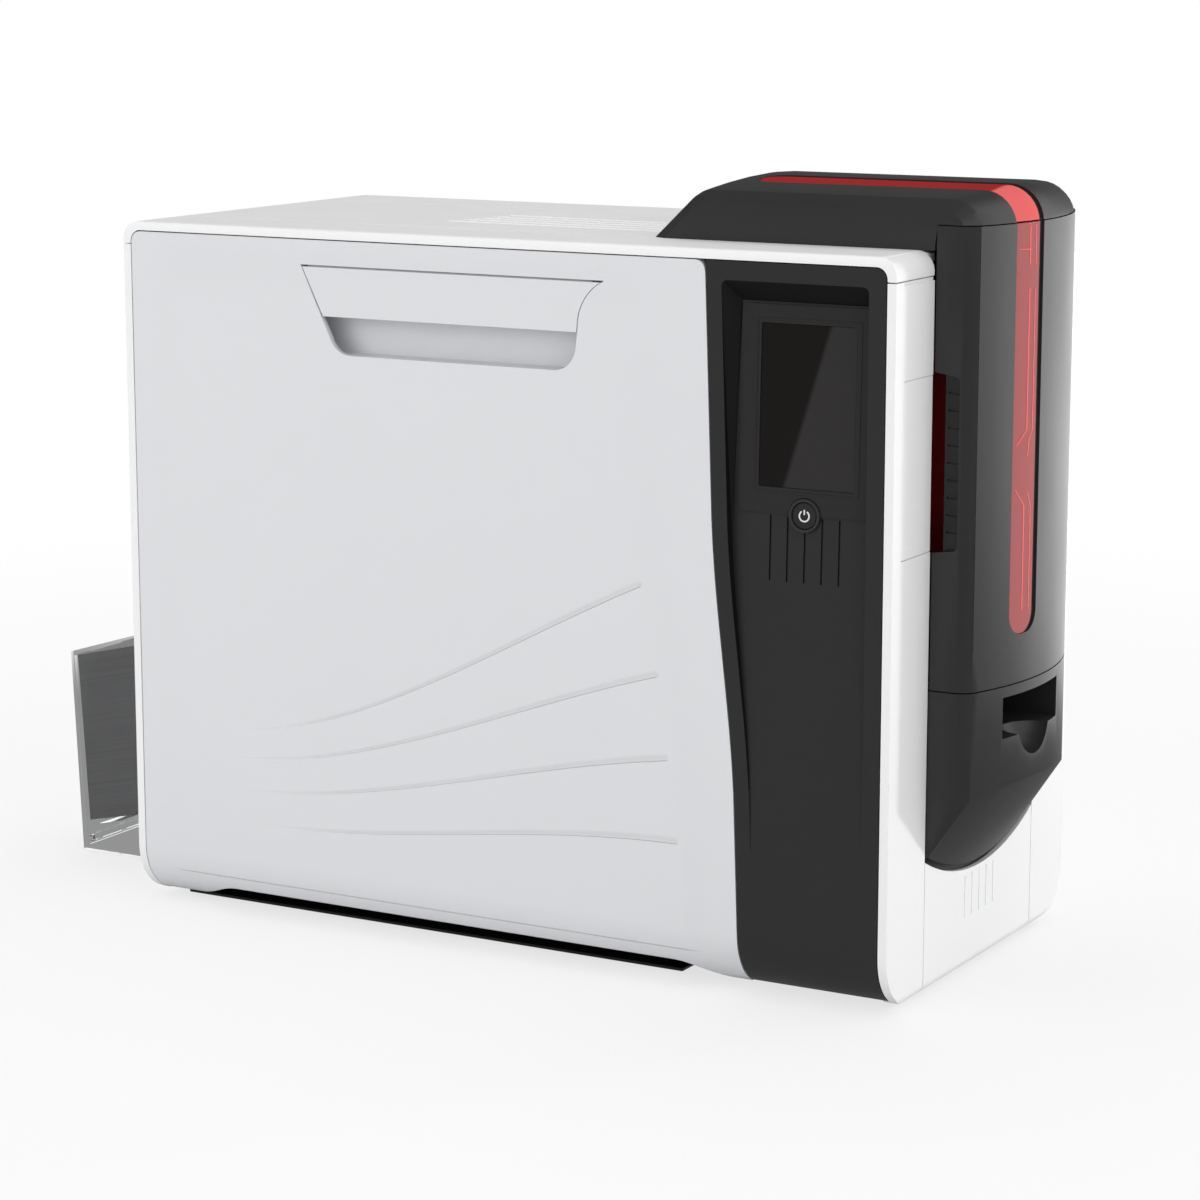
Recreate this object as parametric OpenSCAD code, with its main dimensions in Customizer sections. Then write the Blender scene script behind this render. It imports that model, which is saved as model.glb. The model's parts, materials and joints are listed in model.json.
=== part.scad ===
// Desktop card printer: white casing, drop-down front door with a paddle handle, dark control
// fascia with a touch display, card feeder tower at the right end and a clear output hopper at
// the left end. The mechanism behind the door prints on a transfer film and presses it on cards.
// Each module is drawn with x = 0 on the right end face, y = 0 on the front face and z = 0 on
// the table, and place() then centres the whole object on its footprint.

/* [Body] */
// Length of the white casing
body_l = 423; // [400:1:450]
// Depth of the white casing, front to back
body_w = 210; // [205:1:230]
// Height of the casing's top above the table
body_h = 350; // [345:1:370]
// Height of the casing's underside above the table
shell_lift = 2; // [1.5:0.5:3]
// Wall of the casing panels
wall = 3; // [2.5:0.1:3.5]
// White rim that shows round the front opening
rim = 4.4; // [4:0.1:6]
// Radius of the casing's long lower edges
long_edge_r = 28; // [26:1:30]
// Radius of the casing's upper end corners
corner_r = 9; // [6:0.5:10]
// Radius of the casing's upper long edges
top_edge_r = 4; // [3:0.5:4.5]
// Depth of the top cover's skirt
skirt_h = 11; // [10:0.5:14]
// Gap between neighbouring casing pieces
seam = 0.5; // [0.4:0.05:0.8]
// Radius of the rubber feet
foot_r = 11; // [8:0.5:14]

/* [Front door] */
// Distance from the right end face to the door's right edge at the foot
edge_foot_x = 75.2; // [72:0.5:80]
// How far the door's edge leans away per millimetre of height
edge_lean = 0.034; // [0.02:0.002:0.045]
// Sideways sweep of the S curve in the door's edge
edge_sweep = 8; // [4:0.5:10]
// Height of the door's hinge axis
hinge_z = 18; // [17:0.5:20]
// Distance of the door's hinge axis behind the front face
hinge_y = 16; // [15:0.5:17]
// Radius of the door's hinge rod
hinge_rod_r = 2; // [1.5:0.1:2.5]
// Radius of the hinge knuckles
knuckle_r = 4.5; // [4:0.1:5]
// Skin of the door
door_skin = 3; // [2.5:0.1:3.5]
// Height of the door's middle lower edge
door_low_z = 12; // [11:0.5:14]
// Length of the handle recess along its upper edge
handle_l = 168.4; // [150:1:180]
// Distance from the casing's top down to the handle recess
handle_drop = 17; // [15:1:25]
// Height of the handle paddle
paddle_h = 23.6; // [20:0.2:26]
// Height of the whole handle recess
handle_h = 43; // [38:0.5:48]
// Depth of the handle recess
handle_d = 13; // [11:0.5:14]

/* [Control fascia] */
// Thickness of the fascia
fascia_t = 15; // [13:0.5:16]
// Depth of the fascia's recess at its upper edge
recess_d = 8; // [5:0.5:9]
// Distance from the casing's top down to the recess's upper edge
recess_drop = 13.6; // [12:0.2:30]
// Height where the recess runs out into the front face
recess_foot_z = 68; // [50:1:100]
// Width of the display's visible area
display_w = 48; // [44:1:52]
// Height of the display's visible area
display_h = 74.6; // [66:1:80]
// Radius of the power button
button_r = 6; // [4:0.5:7]

/* [Feeder tower] */
// Distance from the front face to the tower's near side
tower_y = 41.4; // [38:0.2:44]
// Width of the tower
tower_w = 127.3; // [124:0.5:130]
// How far the tower stands out from the right end face
tower_out = 31; // [29:0.5:34]
// Radius of the tower's bowed front, seen from above
bow_r = 150; // [130:5:170]
// Wall of the tower's mouldings
tower_wall = 2.6; // [2.2:0.1:3]
// Height of the seam between feeder door and lower housing
door_seam_z = 148; // [146:0.5:152]
// Height of the seam between feeder door and hood above the casing's top
hood_seam_up = 11.8; // [10:0.2:14]
// Height of the hood's crown above the casing's top
crown_up = 28; // [26:0.5:32]
// Distance from the right end face to the foot of the hood
hood_l = 145.8; // [140:1:150]
// Width of the red level window
window_w = 20; // [14:0.5:24]
// Distance from the front face to the middle of the level window
window_y = 79.4; // [78:0.2:84]

/* [Cards] */
// Length of a card
card_l = 85.6; // [84:0.2:87]
// Width of a card
card_w = 54; // [52:0.5:55]
// Distance from the front face to the middle of the card path
card_y = 96; // [94:0.5:98]
// Height of the card path
path_z = 130; // [126:0.5:134]
// Height of the stack of blank cards
blank_h = 80; // [40:5:110]
// Height of the stack of finished cards
done_h = 91; // [30:1:92]

/* [Output hopper] */
// How far the hopper stands out from the left end face
hopper_out = 92.5; // [90:0.5:96]
// Height of the hopper's outer end
hopper_h = 110; // [104:1:116]
// Wall of the hopper
hopper_wall = 2.2; // [1.8:0.1:2.6]

/* [Mechanism] */
// Distance from the front face to the chassis plate
plate_y = 132; // [130:0.5:136]
// Thickness of the chassis plate
plate_t = 2; // [1.5:0.1:3]
// Radius of the fixed spindles
spindle_r = 4; // [3:0.1:5]
// Running clearance of shafts and spindles
run = 0.06; // [0.04:0.01:0.09]
// Clearance of pins pressed into their seats
seat = 0.02; // [0.01:0.01:0.03]
// Radius of the transport rollers
roller_r = 7; // [6:0.5:8]
// Radius of the roller shafts
shaft_r = 2.5; // [2:0.1:3]
// Radius of the printing platen
platen_r = 13; // [11:0.5:15]
// Radius of the heated transfer roller
heat_r = 15; // [12:0.5:17]
// Radius of the full film spools
film_r = 30; // [24:1:33]
// Radius of the emptied spools
core_r = 15; // [13:0.5:20]
// Radius of the fan's frame opening
fan_r = 28; // [24:1:32]

/* [Hidden] */
$fn = 64;

white = [0.93, 0.93, 0.94];
door_grey = [0.87, 0.875, 0.885];
charcoal = [0.2, 0.2, 0.205];
black = [0.06, 0.06, 0.065];
red = [0.85, 0.1, 0.1, 0.7];
clear = [0.85, 0.9, 0.92, 0.35];
steel = [0.7, 0.71, 0.72];
rubber = [0.12, 0.12, 0.12];
amber = [0.75, 0.55, 0.2];
green = [0.1, 0.35, 0.2];

big = 600;
eps = 0.01;
right_x = (body_l + hopper_out - tower_out) / 2;
skirt_z = body_h - skirt_h;
open_top_z = body_h - rim;
handle_top_z = body_h - handle_drop;
recess_top_z = body_h - recess_drop;
hood_seam_z = body_h + hood_seam_up;
crown_z = body_h + crown_up;
tower_back_y = tower_y + tower_w;
bow_y = tower_y + tower_w / 2 - 4;

// ---- placing and sweeping -------------------------------------------------------------

module place() { translate([right_x, -body_w / 2, 0]) children(); }
module block(low, high) { translate(low) cube(high - low); }
// Sweeps a (y, z) outline along X
module along_x(x0, x1) { translate([x0, 0, 0]) rotate([90, 0, 90]) linear_extrude(x1 - x0) children(); }
// Sweeps an (x, z) outline along Y
module along_y(y0, y1) { translate([0, y1, 0]) rotate([90, 0, 0]) linear_extrude(y1 - y0) children(); }
// Sweeps an (x, y) outline along Z
module along_z(z0, z1) { translate([0, 0, z0]) linear_extrude(z1 - z0) children(); }
// A round bar along Y between two depths, centred on (x, z)
module bar_y(x, z, y0, y1, r) { translate([x, y1, z]) rotate([90, 0, 0]) cylinder(r = r, h = y1 - y0); }
// A round bar along X between two stations, centred on (y, z)
module bar_x(y, z, x0, x1, r) { translate([x0, y, z]) rotate([0, 90, 0]) cylinder(r = r, h = x1 - x0); }

// What a square corner loses when it is rounded, with the corner at the origin
module corner_cut(r) {
    difference() {
        translate([-1, -1]) square(r + 1);
        translate([r, r]) circle(r);
    }
}

// Rectangle with one radius for its lower and one for its upper corners
module rounded(w, h, r_low, r_high) {
    difference() {
        square([w, h]);
        corner_cut(r_low);
        translate([w, 0]) mirror([1, 0]) corner_cut(r_low);
        translate([0, h]) mirror([0, 1]) corner_cut(r_high);
        translate([w, h]) mirror([1, 0]) mirror([0, 1]) corner_cut(r_high);
    }
}

// ---- casing ---------------------------------------------------------------------------

foot_corner_r = 6;

// Outer form of the casing, drawn in by g on every side
module envelope(g) {
    h = body_h - shell_lift - 2 * g;
    intersection() {
        along_x(-body_l + g, -g)
            translate([g, shell_lift + g])
                rounded(body_w - 2 * g, h, long_edge_r - g, max(top_edge_r - g, 0.4));
        along_y(g - eps, body_w - g + eps)
            translate([-body_l + g, shell_lift + g])
                rounded(body_l - 2 * g, h, max(foot_corner_r - g, 0.4), max(corner_r - g, 0.4));
    }
}

module casing_shell() {
    difference() {
        envelope(0);
        envelope(wall);
    }
}

stripe_count = 5;
stripe_pitch = 11;
stripe_w = 6;
stripe_d = 0.9;
stripe_l = 135;
latch_rib_y = 14.5;
latch_rib_t = 2.5;
latch_rib_drop = 8.5;
handle_x = -body_l + 190.4;
latch_x = [handle_x - 57.4, handle_x + 57.6];
latch_w = 12;
gap_front_y = 8;

module top_cover() place() color(white) {
    difference() {
        intersection() {
            casing_shell();
            block([-big, -1, skirt_z], [1, body_w + 1, body_h + 1]);
        }
        along_y(-1, wall + 1) translate([-body_l + rim, skirt_z - 20])
            rounded(body_l - 2 * rim, open_top_z - skirt_z + 20, eps, door_corner_r + seam);
        block([-hood_l + 12, tower_y + 8, body_h - 20], [1, tower_back_y - 8, body_h + 1]);
        block([-wall - 1, tower_y - seam, skirt_z - 1], [1, tower_back_y + seam, body_h + 1]);
        for (i = [0 : stripe_count - 1])
            translate([-hood_l - stripe_l + i * 2, card_y + 4 + (i - 2) * stripe_pitch, body_h - stripe_d])
                rotate([0, 0, -1.5])
                    block([0, -stripe_w / 2, 0], [stripe_l - 4 - i * 2, stripe_w / 2, 2]);
        for (y = [tower_y, tower_back_y])
            block([-body_l + 18, y - 0.6, body_h - 0.8], [-hood_l - 2, y + 0.6, body_h + 1]);
    }
    for (x = latch_x)
        block([x - latch_w, latch_rib_y, body_h - wall - latch_rib_drop],
              [x + latch_w, latch_rib_y + latch_rib_t, body_h - wall + 1]);
}

gap_h = 2.1;
gap_d = 0.8;

// Shadow gap under the top cover's skirt, all round but for the front
module skirt_gap() {
    difference() {
        block([-body_l - 1, gap_front_y, skirt_z - gap_h], [1, body_w + 1, skirt_z]);
        block([-body_l + gap_d, 0, 0], [-gap_d, body_w - gap_d, body_h]);
    }
}

exit_half_w = card_w / 2 + 2;
exit_drop = 6;
exit_rise = 22;

module left_end_panel() place() color(white)
    difference() {
        intersection() {
            casing_shell();
            block([-big, -1, 0], [-body_l + rim, body_w + 1, skirt_z - seam]);
        }
        block([-big, card_y - exit_half_w, path_z - exit_drop],
              [0, card_y + exit_half_w, path_z + exit_rise]);
        skirt_gap();
    }

pillar_t = 9;
cover_y = 8.3;
cover_z = [body_h - 137, body_h - 56];
cover_t = 1.2;
cover_gap = 0.2;
cover_r = 2;
lock_r = 1.6;

// Outline of the lock cover in (y, z), grown by g
module cover_outline(g) {
    h = cover_z[1] - cover_z[0] + 2 * g;
    translate([cover_y - g, cover_z[0] - g]) difference() {
        square([tower_y - seam - cover_y + 2 * g, h]);
        corner_cut(cover_r + g);
        translate([0, h]) mirror([0, 1]) corner_cut(cover_r + g);
    }
}

module right_end_frame() place() color(white)
    difference() {
        union() {
            intersection() {
                casing_shell();
                block([-rim, -1, 0], [1, body_w + 1, skirt_z - seam]);
            }
            intersection() {
                envelope(0);
                union() {
                    block([-pillar_t, fascia_t + 2, 0], [1, tower_y - seam, skirt_z - seam]);
                    block([-wall - 4, tower_y - 6, 0], [-wall - seam, tower_back_y + 6, 36]);
                    block([-wall - 4, tower_back_y + seam, 0], [-1, tower_back_y + 6, skirt_z - seam]);
                }
            }
        }
        block([-wall - seam, tower_y - seam, -1], [1, tower_back_y + seam, big]);
        along_x(-cover_t - 0.1, 1) cover_outline(cover_gap);
        skirt_gap();
    }

// Flush cover over the lock of the front door
module lock_cover() place() color(white)
    difference() {
        along_x(-cover_t, 0) cover_outline(0);
        bar_x(cover_y + 6, cover_z[0] + 8, -0.5, 1, lock_r);
    }

arc_r = 140;
arc_low_z = 50.9;
arc_y = tower_y + tower_w / 2;
groove_pitch = 8.4;
groove_w = 1.2;
groove_d = 0.8;

module lower_end_panel() place() color(white)
    difference() {
        intersection() {
            casing_shell();
            block([-wall, tower_y + seam / 2, 0], [1, tower_back_y - seam / 2, 90]);
        }
        bar_x(arc_y, arc_low_z + arc_r, -wall - 1, 1, arc_r);
        for (i = [-2 : 2])
            translate([0, arc_y + i * groove_pitch, 0])
                block([-groove_d, -groove_w / 2, 28], [1, groove_w / 2, arc_low_z - 2]);
    }

vent_slots = 9;
vent_pitch = 8;
vent_x = -190;
vent_w = 3.5;
vent_z = [body_h - 140, body_h - 50];
fan_x = -body_l + 93;
fan_z = body_h - 95;
fan_frame = 2 * fan_r + 8;
inlet_x = -62;
inlet_z = 46;
inlet_w = 28;
inlet_h = 22;
ports_x = -112;
ports_z = 46;
ports_w = 40;
ports_h = 18;
rear_y = body_w - wall;

module rear_cover() place() color(white)
    difference() {
        intersection() {
            casing_shell();
            block([-body_l + rim + seam, body_w - long_edge_r + 2, 0],
                  [-rim - seam, body_w + 1, skirt_z - seam]);
        }
        bar_y(fan_x, fan_z, rear_y - 1, body_w + 1, fan_r);
        for (i = [0 : vent_slots - 1])
            translate([vent_x + i * vent_pitch, 0, 0])
                block([0, rear_y - 1, vent_z[0]], [vent_w, body_w + 1, vent_z[1]]);
        block([inlet_x - inlet_w / 2 - seam, rear_y - 1, inlet_z - inlet_h / 2 - seam],
              [inlet_x + inlet_w / 2 + seam, body_w + 1, inlet_z + inlet_h / 2 + seam]);
        block([ports_x - ports_w / 2 - seam, rear_y - 1, ports_z - ports_h / 2 - seam],
              [ports_x + ports_w / 2 + seam, body_w + 1, ports_z + ports_h / 2 + seam]);
        skirt_gap();
    }

tray_t = 3;
strip_t = 1.6;
tray_front_y = 36;
knuckle_l = 36;
base_knuckle_x = [-body_l + 83, -body_l + 161, -176];
door_knuckle_x = [-body_l + 122, -body_l + 204, -137];
strip_x = [-body_l + 17, -116];

module base_tray() place() color(black)
    difference() {
        union() {
            block([-body_l + rim + seam, tray_front_y, shell_lift],
                  [-pillar_t - seam, body_w - long_edge_r + 2 - seam, shell_lift + tray_t]);
            block([strip_x[0], 20, shell_lift], [strip_x[1], tray_front_y + 1, shell_lift + strip_t]);
            block([-body_l + rim + 12, tray_front_y, shell_lift],
                  [-rim - 12, tray_front_y + 2.5, shell_lift + 14]);
            for (x = base_knuckle_x) {
                bar_x(hinge_y, hinge_z, x - knuckle_l / 2, x + knuckle_l / 2, knuckle_r);
                block([x - knuckle_l / 2, hinge_y, hinge_z - 2],
                      [x + knuckle_l / 2, tray_front_y + 1, hinge_z + 1]);
                block([x - knuckle_l / 2, tray_front_y, shell_lift],
                      [x + knuckle_l / 2, tray_front_y + 2.5, hinge_z + 1]);
            }
        }
        bar_x(hinge_y, hinge_z, -body_l, 0, hinge_rod_r + run);
    }

foot_inset = 42;

module rubber_feet() place() color(rubber)
    for (x = [-body_l + foot_inset, -foot_inset])
        for (y = [foot_inset + 10, body_w - foot_inset - 10])
            translate([x, y, 0]) cylinder(r = foot_r, h = shell_lift);

// ---- front door and handle --------------------------------------------------------------

function smooth(t) = t <= 0 ? 0 : t >= 1 ? 1 : t * t * (3 - 2 * t);
// Sideways place of the S-shaped parting line between door and fascia at height z
function edge_x(z) = -edge_foot_x - edge_lean * z - edge_sweep * smooth((z - 90) / 140);
function arc_points(cx, cy, r, a0, a1, n) =
    [for (i = [0 : n]) let (a = a0 + (a1 - a0) * i / n) [cx + r * cos(a), cy + r * sin(a)]];

edge_steps = 24;
door_corner_r = 5;
door_gap = 0.6;

// Outline of the door in (x, z), drawn in by g and cut off below low_z
module door_outline(g, low_z) {
    x0 = -body_l + rim + door_gap + g;
    top = open_top_z - door_gap - g;
    r = door_corner_r;
    x1 = edge_x(top) - door_gap - g;
    intersection() {
        polygon(concat(
            [for (i = [0 : edge_steps]) let (z = (top - r) * i / edge_steps)
                [edge_x(z) - door_gap - g, z]],
            arc_points(x1 - r, top - r, r, 0, 90, 5),
            arc_points(x0 + r, top - r, r, 90, 180, 5),
            [[x0, 0]]));
        translate([-big, low_z]) square([big, big]);
    }
}

door_foot_z = 5;
foot_x = [-body_l + 28, -edge_foot_x - 10];
foot_sweep = 28;
foot_steps = 8;

// Height of the door's lower edge at x: low at both ends, raised between them
function door_low(x) = door_foot_z
    + (door_low_z - door_foot_z) * smooth(min(x - foot_x[0], foot_x[1] - x) / foot_sweep);

// All that lies above the door's lower edge, in (x, z)
module above_feet() {
    polygon(concat(
        [[-big, big], [-big, door_low(-big)]],
        [for (i = [0 : foot_steps]) let (x = foot_x[0] + foot_sweep * i / foot_steps) [x, door_low(x)]],
        [for (i = [foot_steps : -1 : 0])
            let (x = foot_x[1] - foot_sweep * i / foot_steps) [x, door_low(x)]],
        [[0, door_low(0)], [0, big]]));
}

handle_low_z = handle_top_z - handle_h;
recess_corner_r = 12;

// Outline of the handle recess in (x, z), drawn in by g and cut off below low_z
module handle_outline(g, low_z) {
    x0 = handle_x - handle_l / 2 + g;
    x1 = handle_x + handle_l / 2 - g;
    intersection() {
        polygon(concat(
            [[x0, handle_top_z - g]],
            arc_points(x0 + 28, handle_low_z + recess_corner_r + g, recess_corner_r, 200, 270, 6),
            arc_points(x1 - 26.6, handle_low_z + recess_corner_r + g, recess_corner_r, -90, -10, 6),
            arc_points(x1 + 10.4, handle_low_z + 21, 24, 180, 115, 8),
            [[x1, handle_top_z - g]]));
        translate([-big, low_z]) square([big, big]);
    }
}

// The waves: four long tapering grooves that rise to the right
wave_start = -body_l + 62;
wave_from = [[wave_start, 97], [wave_start, 83], [wave_start + 2.2, 66], [wave_start + 5, 50]];
wave_to = [[-128.8, 190], [-119.4, 149], [-112.4, 109.6], [-108.2, 70.4]];
wave_dip = [0, 0, 2, 12];
wave_steps = 22;
wave_d = 0.9;
wave_w = 3;

function wave_z(k, t) = wave_from[k][1] + (wave_to[k][1] - wave_from[k][1]) * pow(smooth(t), 1.15)
    - wave_dip[k] * sin(180 * pow(t, 0.8)) / 2;
function wave_x(k, t) = wave_from[k][0] + (wave_to[k][0] - wave_from[k][0]) * t;

module wave(k) {
    along_y(-1, wave_d)
        polygon(concat(
            [for (i = [0 : wave_steps]) let (t = i / wave_steps) [wave_x(k, t), wave_z(k, t)]],
            [for (i = [wave_steps : -1 : 0]) let (t = i / wave_steps)
                [wave_x(k, t), wave_z(k, t) - 0.3 - wave_w * t]]));
}

pin_y = 3.4;
pin_z = handle_top_z - 2.4;
pin_r = 1;
barrel_r = 2.1;
paddle_t = 2.6;
pocket_wall = 2;

module front_door() place() color(door_grey)
    difference() {
        union() {
            intersection() {
                difference() {
                    envelope(0);
                    envelope(door_skin);
                }
                along_y(-1, 34) intersection() {
                    door_outline(0, 0);
                    above_feet();
                }
            }
            along_y(door_skin - 0.5, 12) difference() {
                door_outline(0, long_edge_r + 4);
                door_outline(2.5, long_edge_r + 7);
            }
            along_y(door_skin - 0.5, handle_d + pocket_wall)
                translate([handle_x - handle_l / 2 - 3, handle_low_z - pocket_wall])
                    square([handle_l + 6, handle_h + pocket_wall + 4]);
            for (x = door_knuckle_x) {
                bar_x(hinge_y, hinge_z, x - knuckle_l / 2, x + knuckle_l / 2, knuckle_r);
                block([x - knuckle_l / 2, door_skin + 1.5, hinge_z - 0.5],
                      [x + knuckle_l / 2, hinge_y, hinge_z + knuckle_r]);
            }
        }
        along_y(-1, door_skin + eps) handle_outline(0, 0);
        along_y(door_skin, handle_d)
            translate([handle_x - handle_l / 2 - 1, handle_low_z])
                square([handle_l + 2, handle_h + 2]);
        for (x = latch_x)
            block([x - 5, handle_d - 1, pin_z - 6], [x + 5, handle_d + pocket_wall + 1, pin_z + 3]);
        bar_x(hinge_y, hinge_z, -body_l, 0, hinge_rod_r + run);
        bar_x(pin_y, pin_z, handle_x - handle_l / 2 - 2.5, handle_x + handle_l / 2 + 2.5, pin_r + seat);
        for (k = [0 : 3])
            wave(k);
    }

module handle_paddle() place() color(door_grey)
    difference() {
        union() {
            along_y(0.3, 0.3 + paddle_t)
                intersection() {
                    handle_outline(0.7, handle_top_z - paddle_h - 1);
                    translate([-big, 0]) square([big, handle_top_z - 1]);
                }
            intersection() {
                bar_x(pin_y, pin_z, handle_x - handle_l / 2 + 3, handle_x + handle_l / 2 - 7, barrel_r);
                block([-big, 0.3, 0], [0, 20, big]);
            }
            for (x = latch_x) {
                block([x - 4, pin_y, pin_z - 1.1], [x + 4, latch_rib_y + latch_rib_t + 3, pin_z + 1.2]);
                block([x - 4, latch_rib_y + latch_rib_t + 0.6, pin_z - 1.1],
                      [x + 4, latch_rib_y + latch_rib_t + 3, body_h - wall - latch_rib_drop - 0.5]);
            }
            block([handle_x - 60, 0.3 + paddle_t - eps, pin_z - 14],
                  [handle_x + 60, 0.3 + paddle_t + 1, pin_z - 13]);
        }
        bar_x(pin_y, pin_z, -body_l, 0, pin_r + run);
    }

module handle_pin() place() color(steel)
    bar_x(pin_y, pin_z, handle_x - handle_l / 2 - 2.4, handle_x + handle_l / 2 + 2.4, pin_r);

module door_hinge_rod() place() color(steel)
    bar_x(hinge_y, hinge_z, base_knuckle_x[0] - knuckle_l / 2, door_knuckle_x[2] + knuckle_l / 2 + 2,
          hinge_rod_r);

// ---- control fascia -----------------------------------------------------------------------

recess_right_x = -13.3;
recess_edge = 7.6;
recess_slope = 9.4;
recess_r = 3;
tilt = atan2(recess_d, recess_top_z - recess_slope - recess_foot_z);

// Outline of the fascia in (x, z), drawn in by g
module fascia_outline(g) {
    top = open_top_z - seam - g;
    r = door_corner_r;
    x1 = -rim - seam - g;
    polygon(concat(
        [for (i = [edge_steps : -1 : 0])
            let (z = shell_lift + 4 + (top - shell_lift - 4) * i / edge_steps)
            [edge_x(z) + g, z]],
        [[x1, shell_lift + 4]],
        arc_points(x1 - r, top - r, r, 0, 90, 5)));
}

// The sunken field of the fascia: its floor leans back and runs out at the foot
module fascia_recess() {
    z1 = recess_top_z;
    intersection() {
        along_x(-120, recess_right_x)
            polygon([[-1, z1 + 1.2], [-1, recess_foot_z - 32], [0, recess_foot_z],
                     [recess_d, z1 - recess_slope], [0, z1]]);
        along_z(0, big)
            polygon([[edge_x(z1) + recess_edge, -1], [edge_x(z1) + recess_edge, 0],
                     [edge_x(z1) + recess_edge + recess_d, recess_d + 1], [0, recess_d + 1], [0, -1]]);
        along_y(-1, recess_d + 2)
            polygon(concat(
                [for (i = [edge_steps : -1 : 0])
                    let (z = recess_foot_z + (z1 - recess_r - recess_foot_z) * i / edge_steps)
                    [edge_x(z) + recess_edge, z]],
                [[recess_right_x, recess_foot_z]],
                arc_points(recess_right_x - recess_r, z1 - recess_r, recess_r, 0, 90, 5),
                arc_points(edge_x(z1) + recess_edge + recess_r, z1 - recess_r, recess_r, 90, 170, 5)));
    }
}

// Frame of reference on the recess floor: y into the fascia, z up along the floor
module on_floor() { translate([0, 0, recess_foot_z]) rotate([-tilt, 0, 0]) children(); }

bezel_x = [-79.5, -13.8];
bezel_h = 95;
bezel_r = 3.5;
floor_l = norm([recess_d, recess_top_z - recess_slope - recess_foot_z]);
bezel_foot = floor_l - bezel_h - 1.12;
bezel_t = 1;
glass_t = 2.4;
display_x = -45.6;
display_z = bezel_foot + 12;
button_x = -45.9;
button_z = bezel_foot;
ring_r = 7.85;
ring_t = 1.6;
button_l = 7;
fin_count = 5;
fin_pitch = 8.7;
fin_l = 31;
fin_w = 0.9;

module control_fascia() place() color(charcoal)
    difference() {
        intersection() {
            difference() {
                envelope(0);
                along_x(-big, 1) translate([fascia_t, shell_lift + fascia_t])
                    rounded(body_w, body_h, long_edge_r - fascia_t, 1);
            }
            along_y(-1, long_edge_r + 6) fascia_outline(0);
        }
        block([-pillar_t - seam, fascia_t + 2 - seam, 0], [1, body_w, body_h]);
        fascia_recess();
        // pocket for the display behind the floor, and the button's way through
        on_floor() {
            block([display_x - display_w / 2 - 2, -1, display_z - 2],
                  [display_x + display_w / 2 + 2, glass_t - bezel_t + 0.4, display_z + display_h + 2]);
            translate([button_x, -5, button_z]) rotate([-90, 0, 0])
                cylinder(r = ring_r + 0.1, h = 5 + ring_t);
            translate([button_x, 0, button_z]) rotate([-90, 0, 0]) cylinder(r = button_r + 0.3, h = 30);
            for (i = [-(fin_count - 1) / 2 : (fin_count - 1) / 2])
                translate([button_x + i * fin_pitch, 0, 0])
                    block([-fin_w / 2, -2, button_z - fin_l], [fin_w / 2, 0.8, button_z - (i == 0 ? 8 : 1)]);
        }
        block([edge_x(0) + 30, fascia_t - 6, 20], [-rim - 12, 40, 110]);
    }

module display_bezel() place() color(charcoal) on_floor()
    difference() {
        along_y(-bezel_t, 0) translate([bezel_x[0], bezel_foot])
            rounded(bezel_x[1] - bezel_x[0], bezel_h, bezel_r, bezel_r);
        block([display_x - display_w / 2, -bezel_t - 1, display_z],
              [display_x + display_w / 2, 1, display_z + display_h]);
        translate([button_x, -5, button_z]) rotate([-90, 0, 0]) cylinder(r = ring_r + 0.3, h = 10);
    }

module display_glass() place() color(black) on_floor() {
    block([display_x - display_w / 2 - 1.5, 0.1, display_z - 1.5],
          [display_x + display_w / 2 + 1.5, glass_t - bezel_t, display_z + display_h + 1.5]);
    block([display_x - display_w / 2 + 0.2, -bezel_t + 0.3, display_z + 0.2],
          [display_x + display_w / 2 - 0.2, 0.1 + eps, display_z + display_h - 0.2]);
}

module button_ring() place() color(black) on_floor()
    translate([button_x, -bezel_t - 0.8, button_z]) rotate([-90, 0, 0])
        difference() {
            cylinder(r = ring_r, h = bezel_t + 0.8 + ring_t);
            translate([0, 0, -1]) cylinder(r = button_r + 0.3, h = 10);
        }

module power_button() place() color(black) on_floor()
    translate([button_x, -bezel_t - 0.4, button_z]) rotate([-90, 0, 0])
        difference() {
            cylinder(r = button_r, h = button_l);
            translate([0, 0, -52 + 0.5]) sphere(r = 52, $fn = 96);
        }

// ---- feeder tower ---------------------------------------------------------------------------

side_x = 14.5;
chamfer = [5.7, 3.6];
door_x = 0.5;

// Plan of the tower in (x, y), drawn in by g and running back to x0
module tower_plan(g, x0) {
    intersection() {
        translate([tower_out - bow_r, bow_y]) circle(bow_r - g, $fn = 180);
        polygon([[x0, tower_y + g], [side_x - 0.29 * g, tower_y + g],
                 [side_x - 0.29 * g + 4 * chamfer[0], tower_y + g + 4 * chamfer[1]],
                 [side_x - 0.29 * g + 4 * chamfer[0], tower_back_y - g - 4 * chamfer[1]],
                 [side_x - 0.29 * g, tower_back_y - g], [x0, tower_back_y - g]]);
    }
}

function bow_x(y, g) = tower_out - bow_r + sqrt(pow(bow_r - g, 2) - pow(y - bow_y, 2));

hood_slope = 43.5;
shoulder_r = 9;
crown_drop = 5;
hood_chamfer = 6.6;
hood_side_z = crown_z - 10;

// Side outline of the hood in (x, z) at a station across its width
function hood_profile(top, front, r, foot, under) =
    let (cx = foot + (top - shoulder_r * (1 - cos(hood_slope)) - body_h) / tan(hood_slope)
             + shoulder_r * sin(hood_slope))
    concat([[foot, body_h - under]],
           arc_points(cx, top - shoulder_r, shoulder_r, 90 + hood_slope, 90, 5),
           arc_points(front - r, top - r, r, 90, 0, 8),
           [[front, body_h - under]]);

// Stations across the hood: distance in from its side face
hood_in = [0, 3.6, 6.6, 14, 26, 42, 60];

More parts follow.
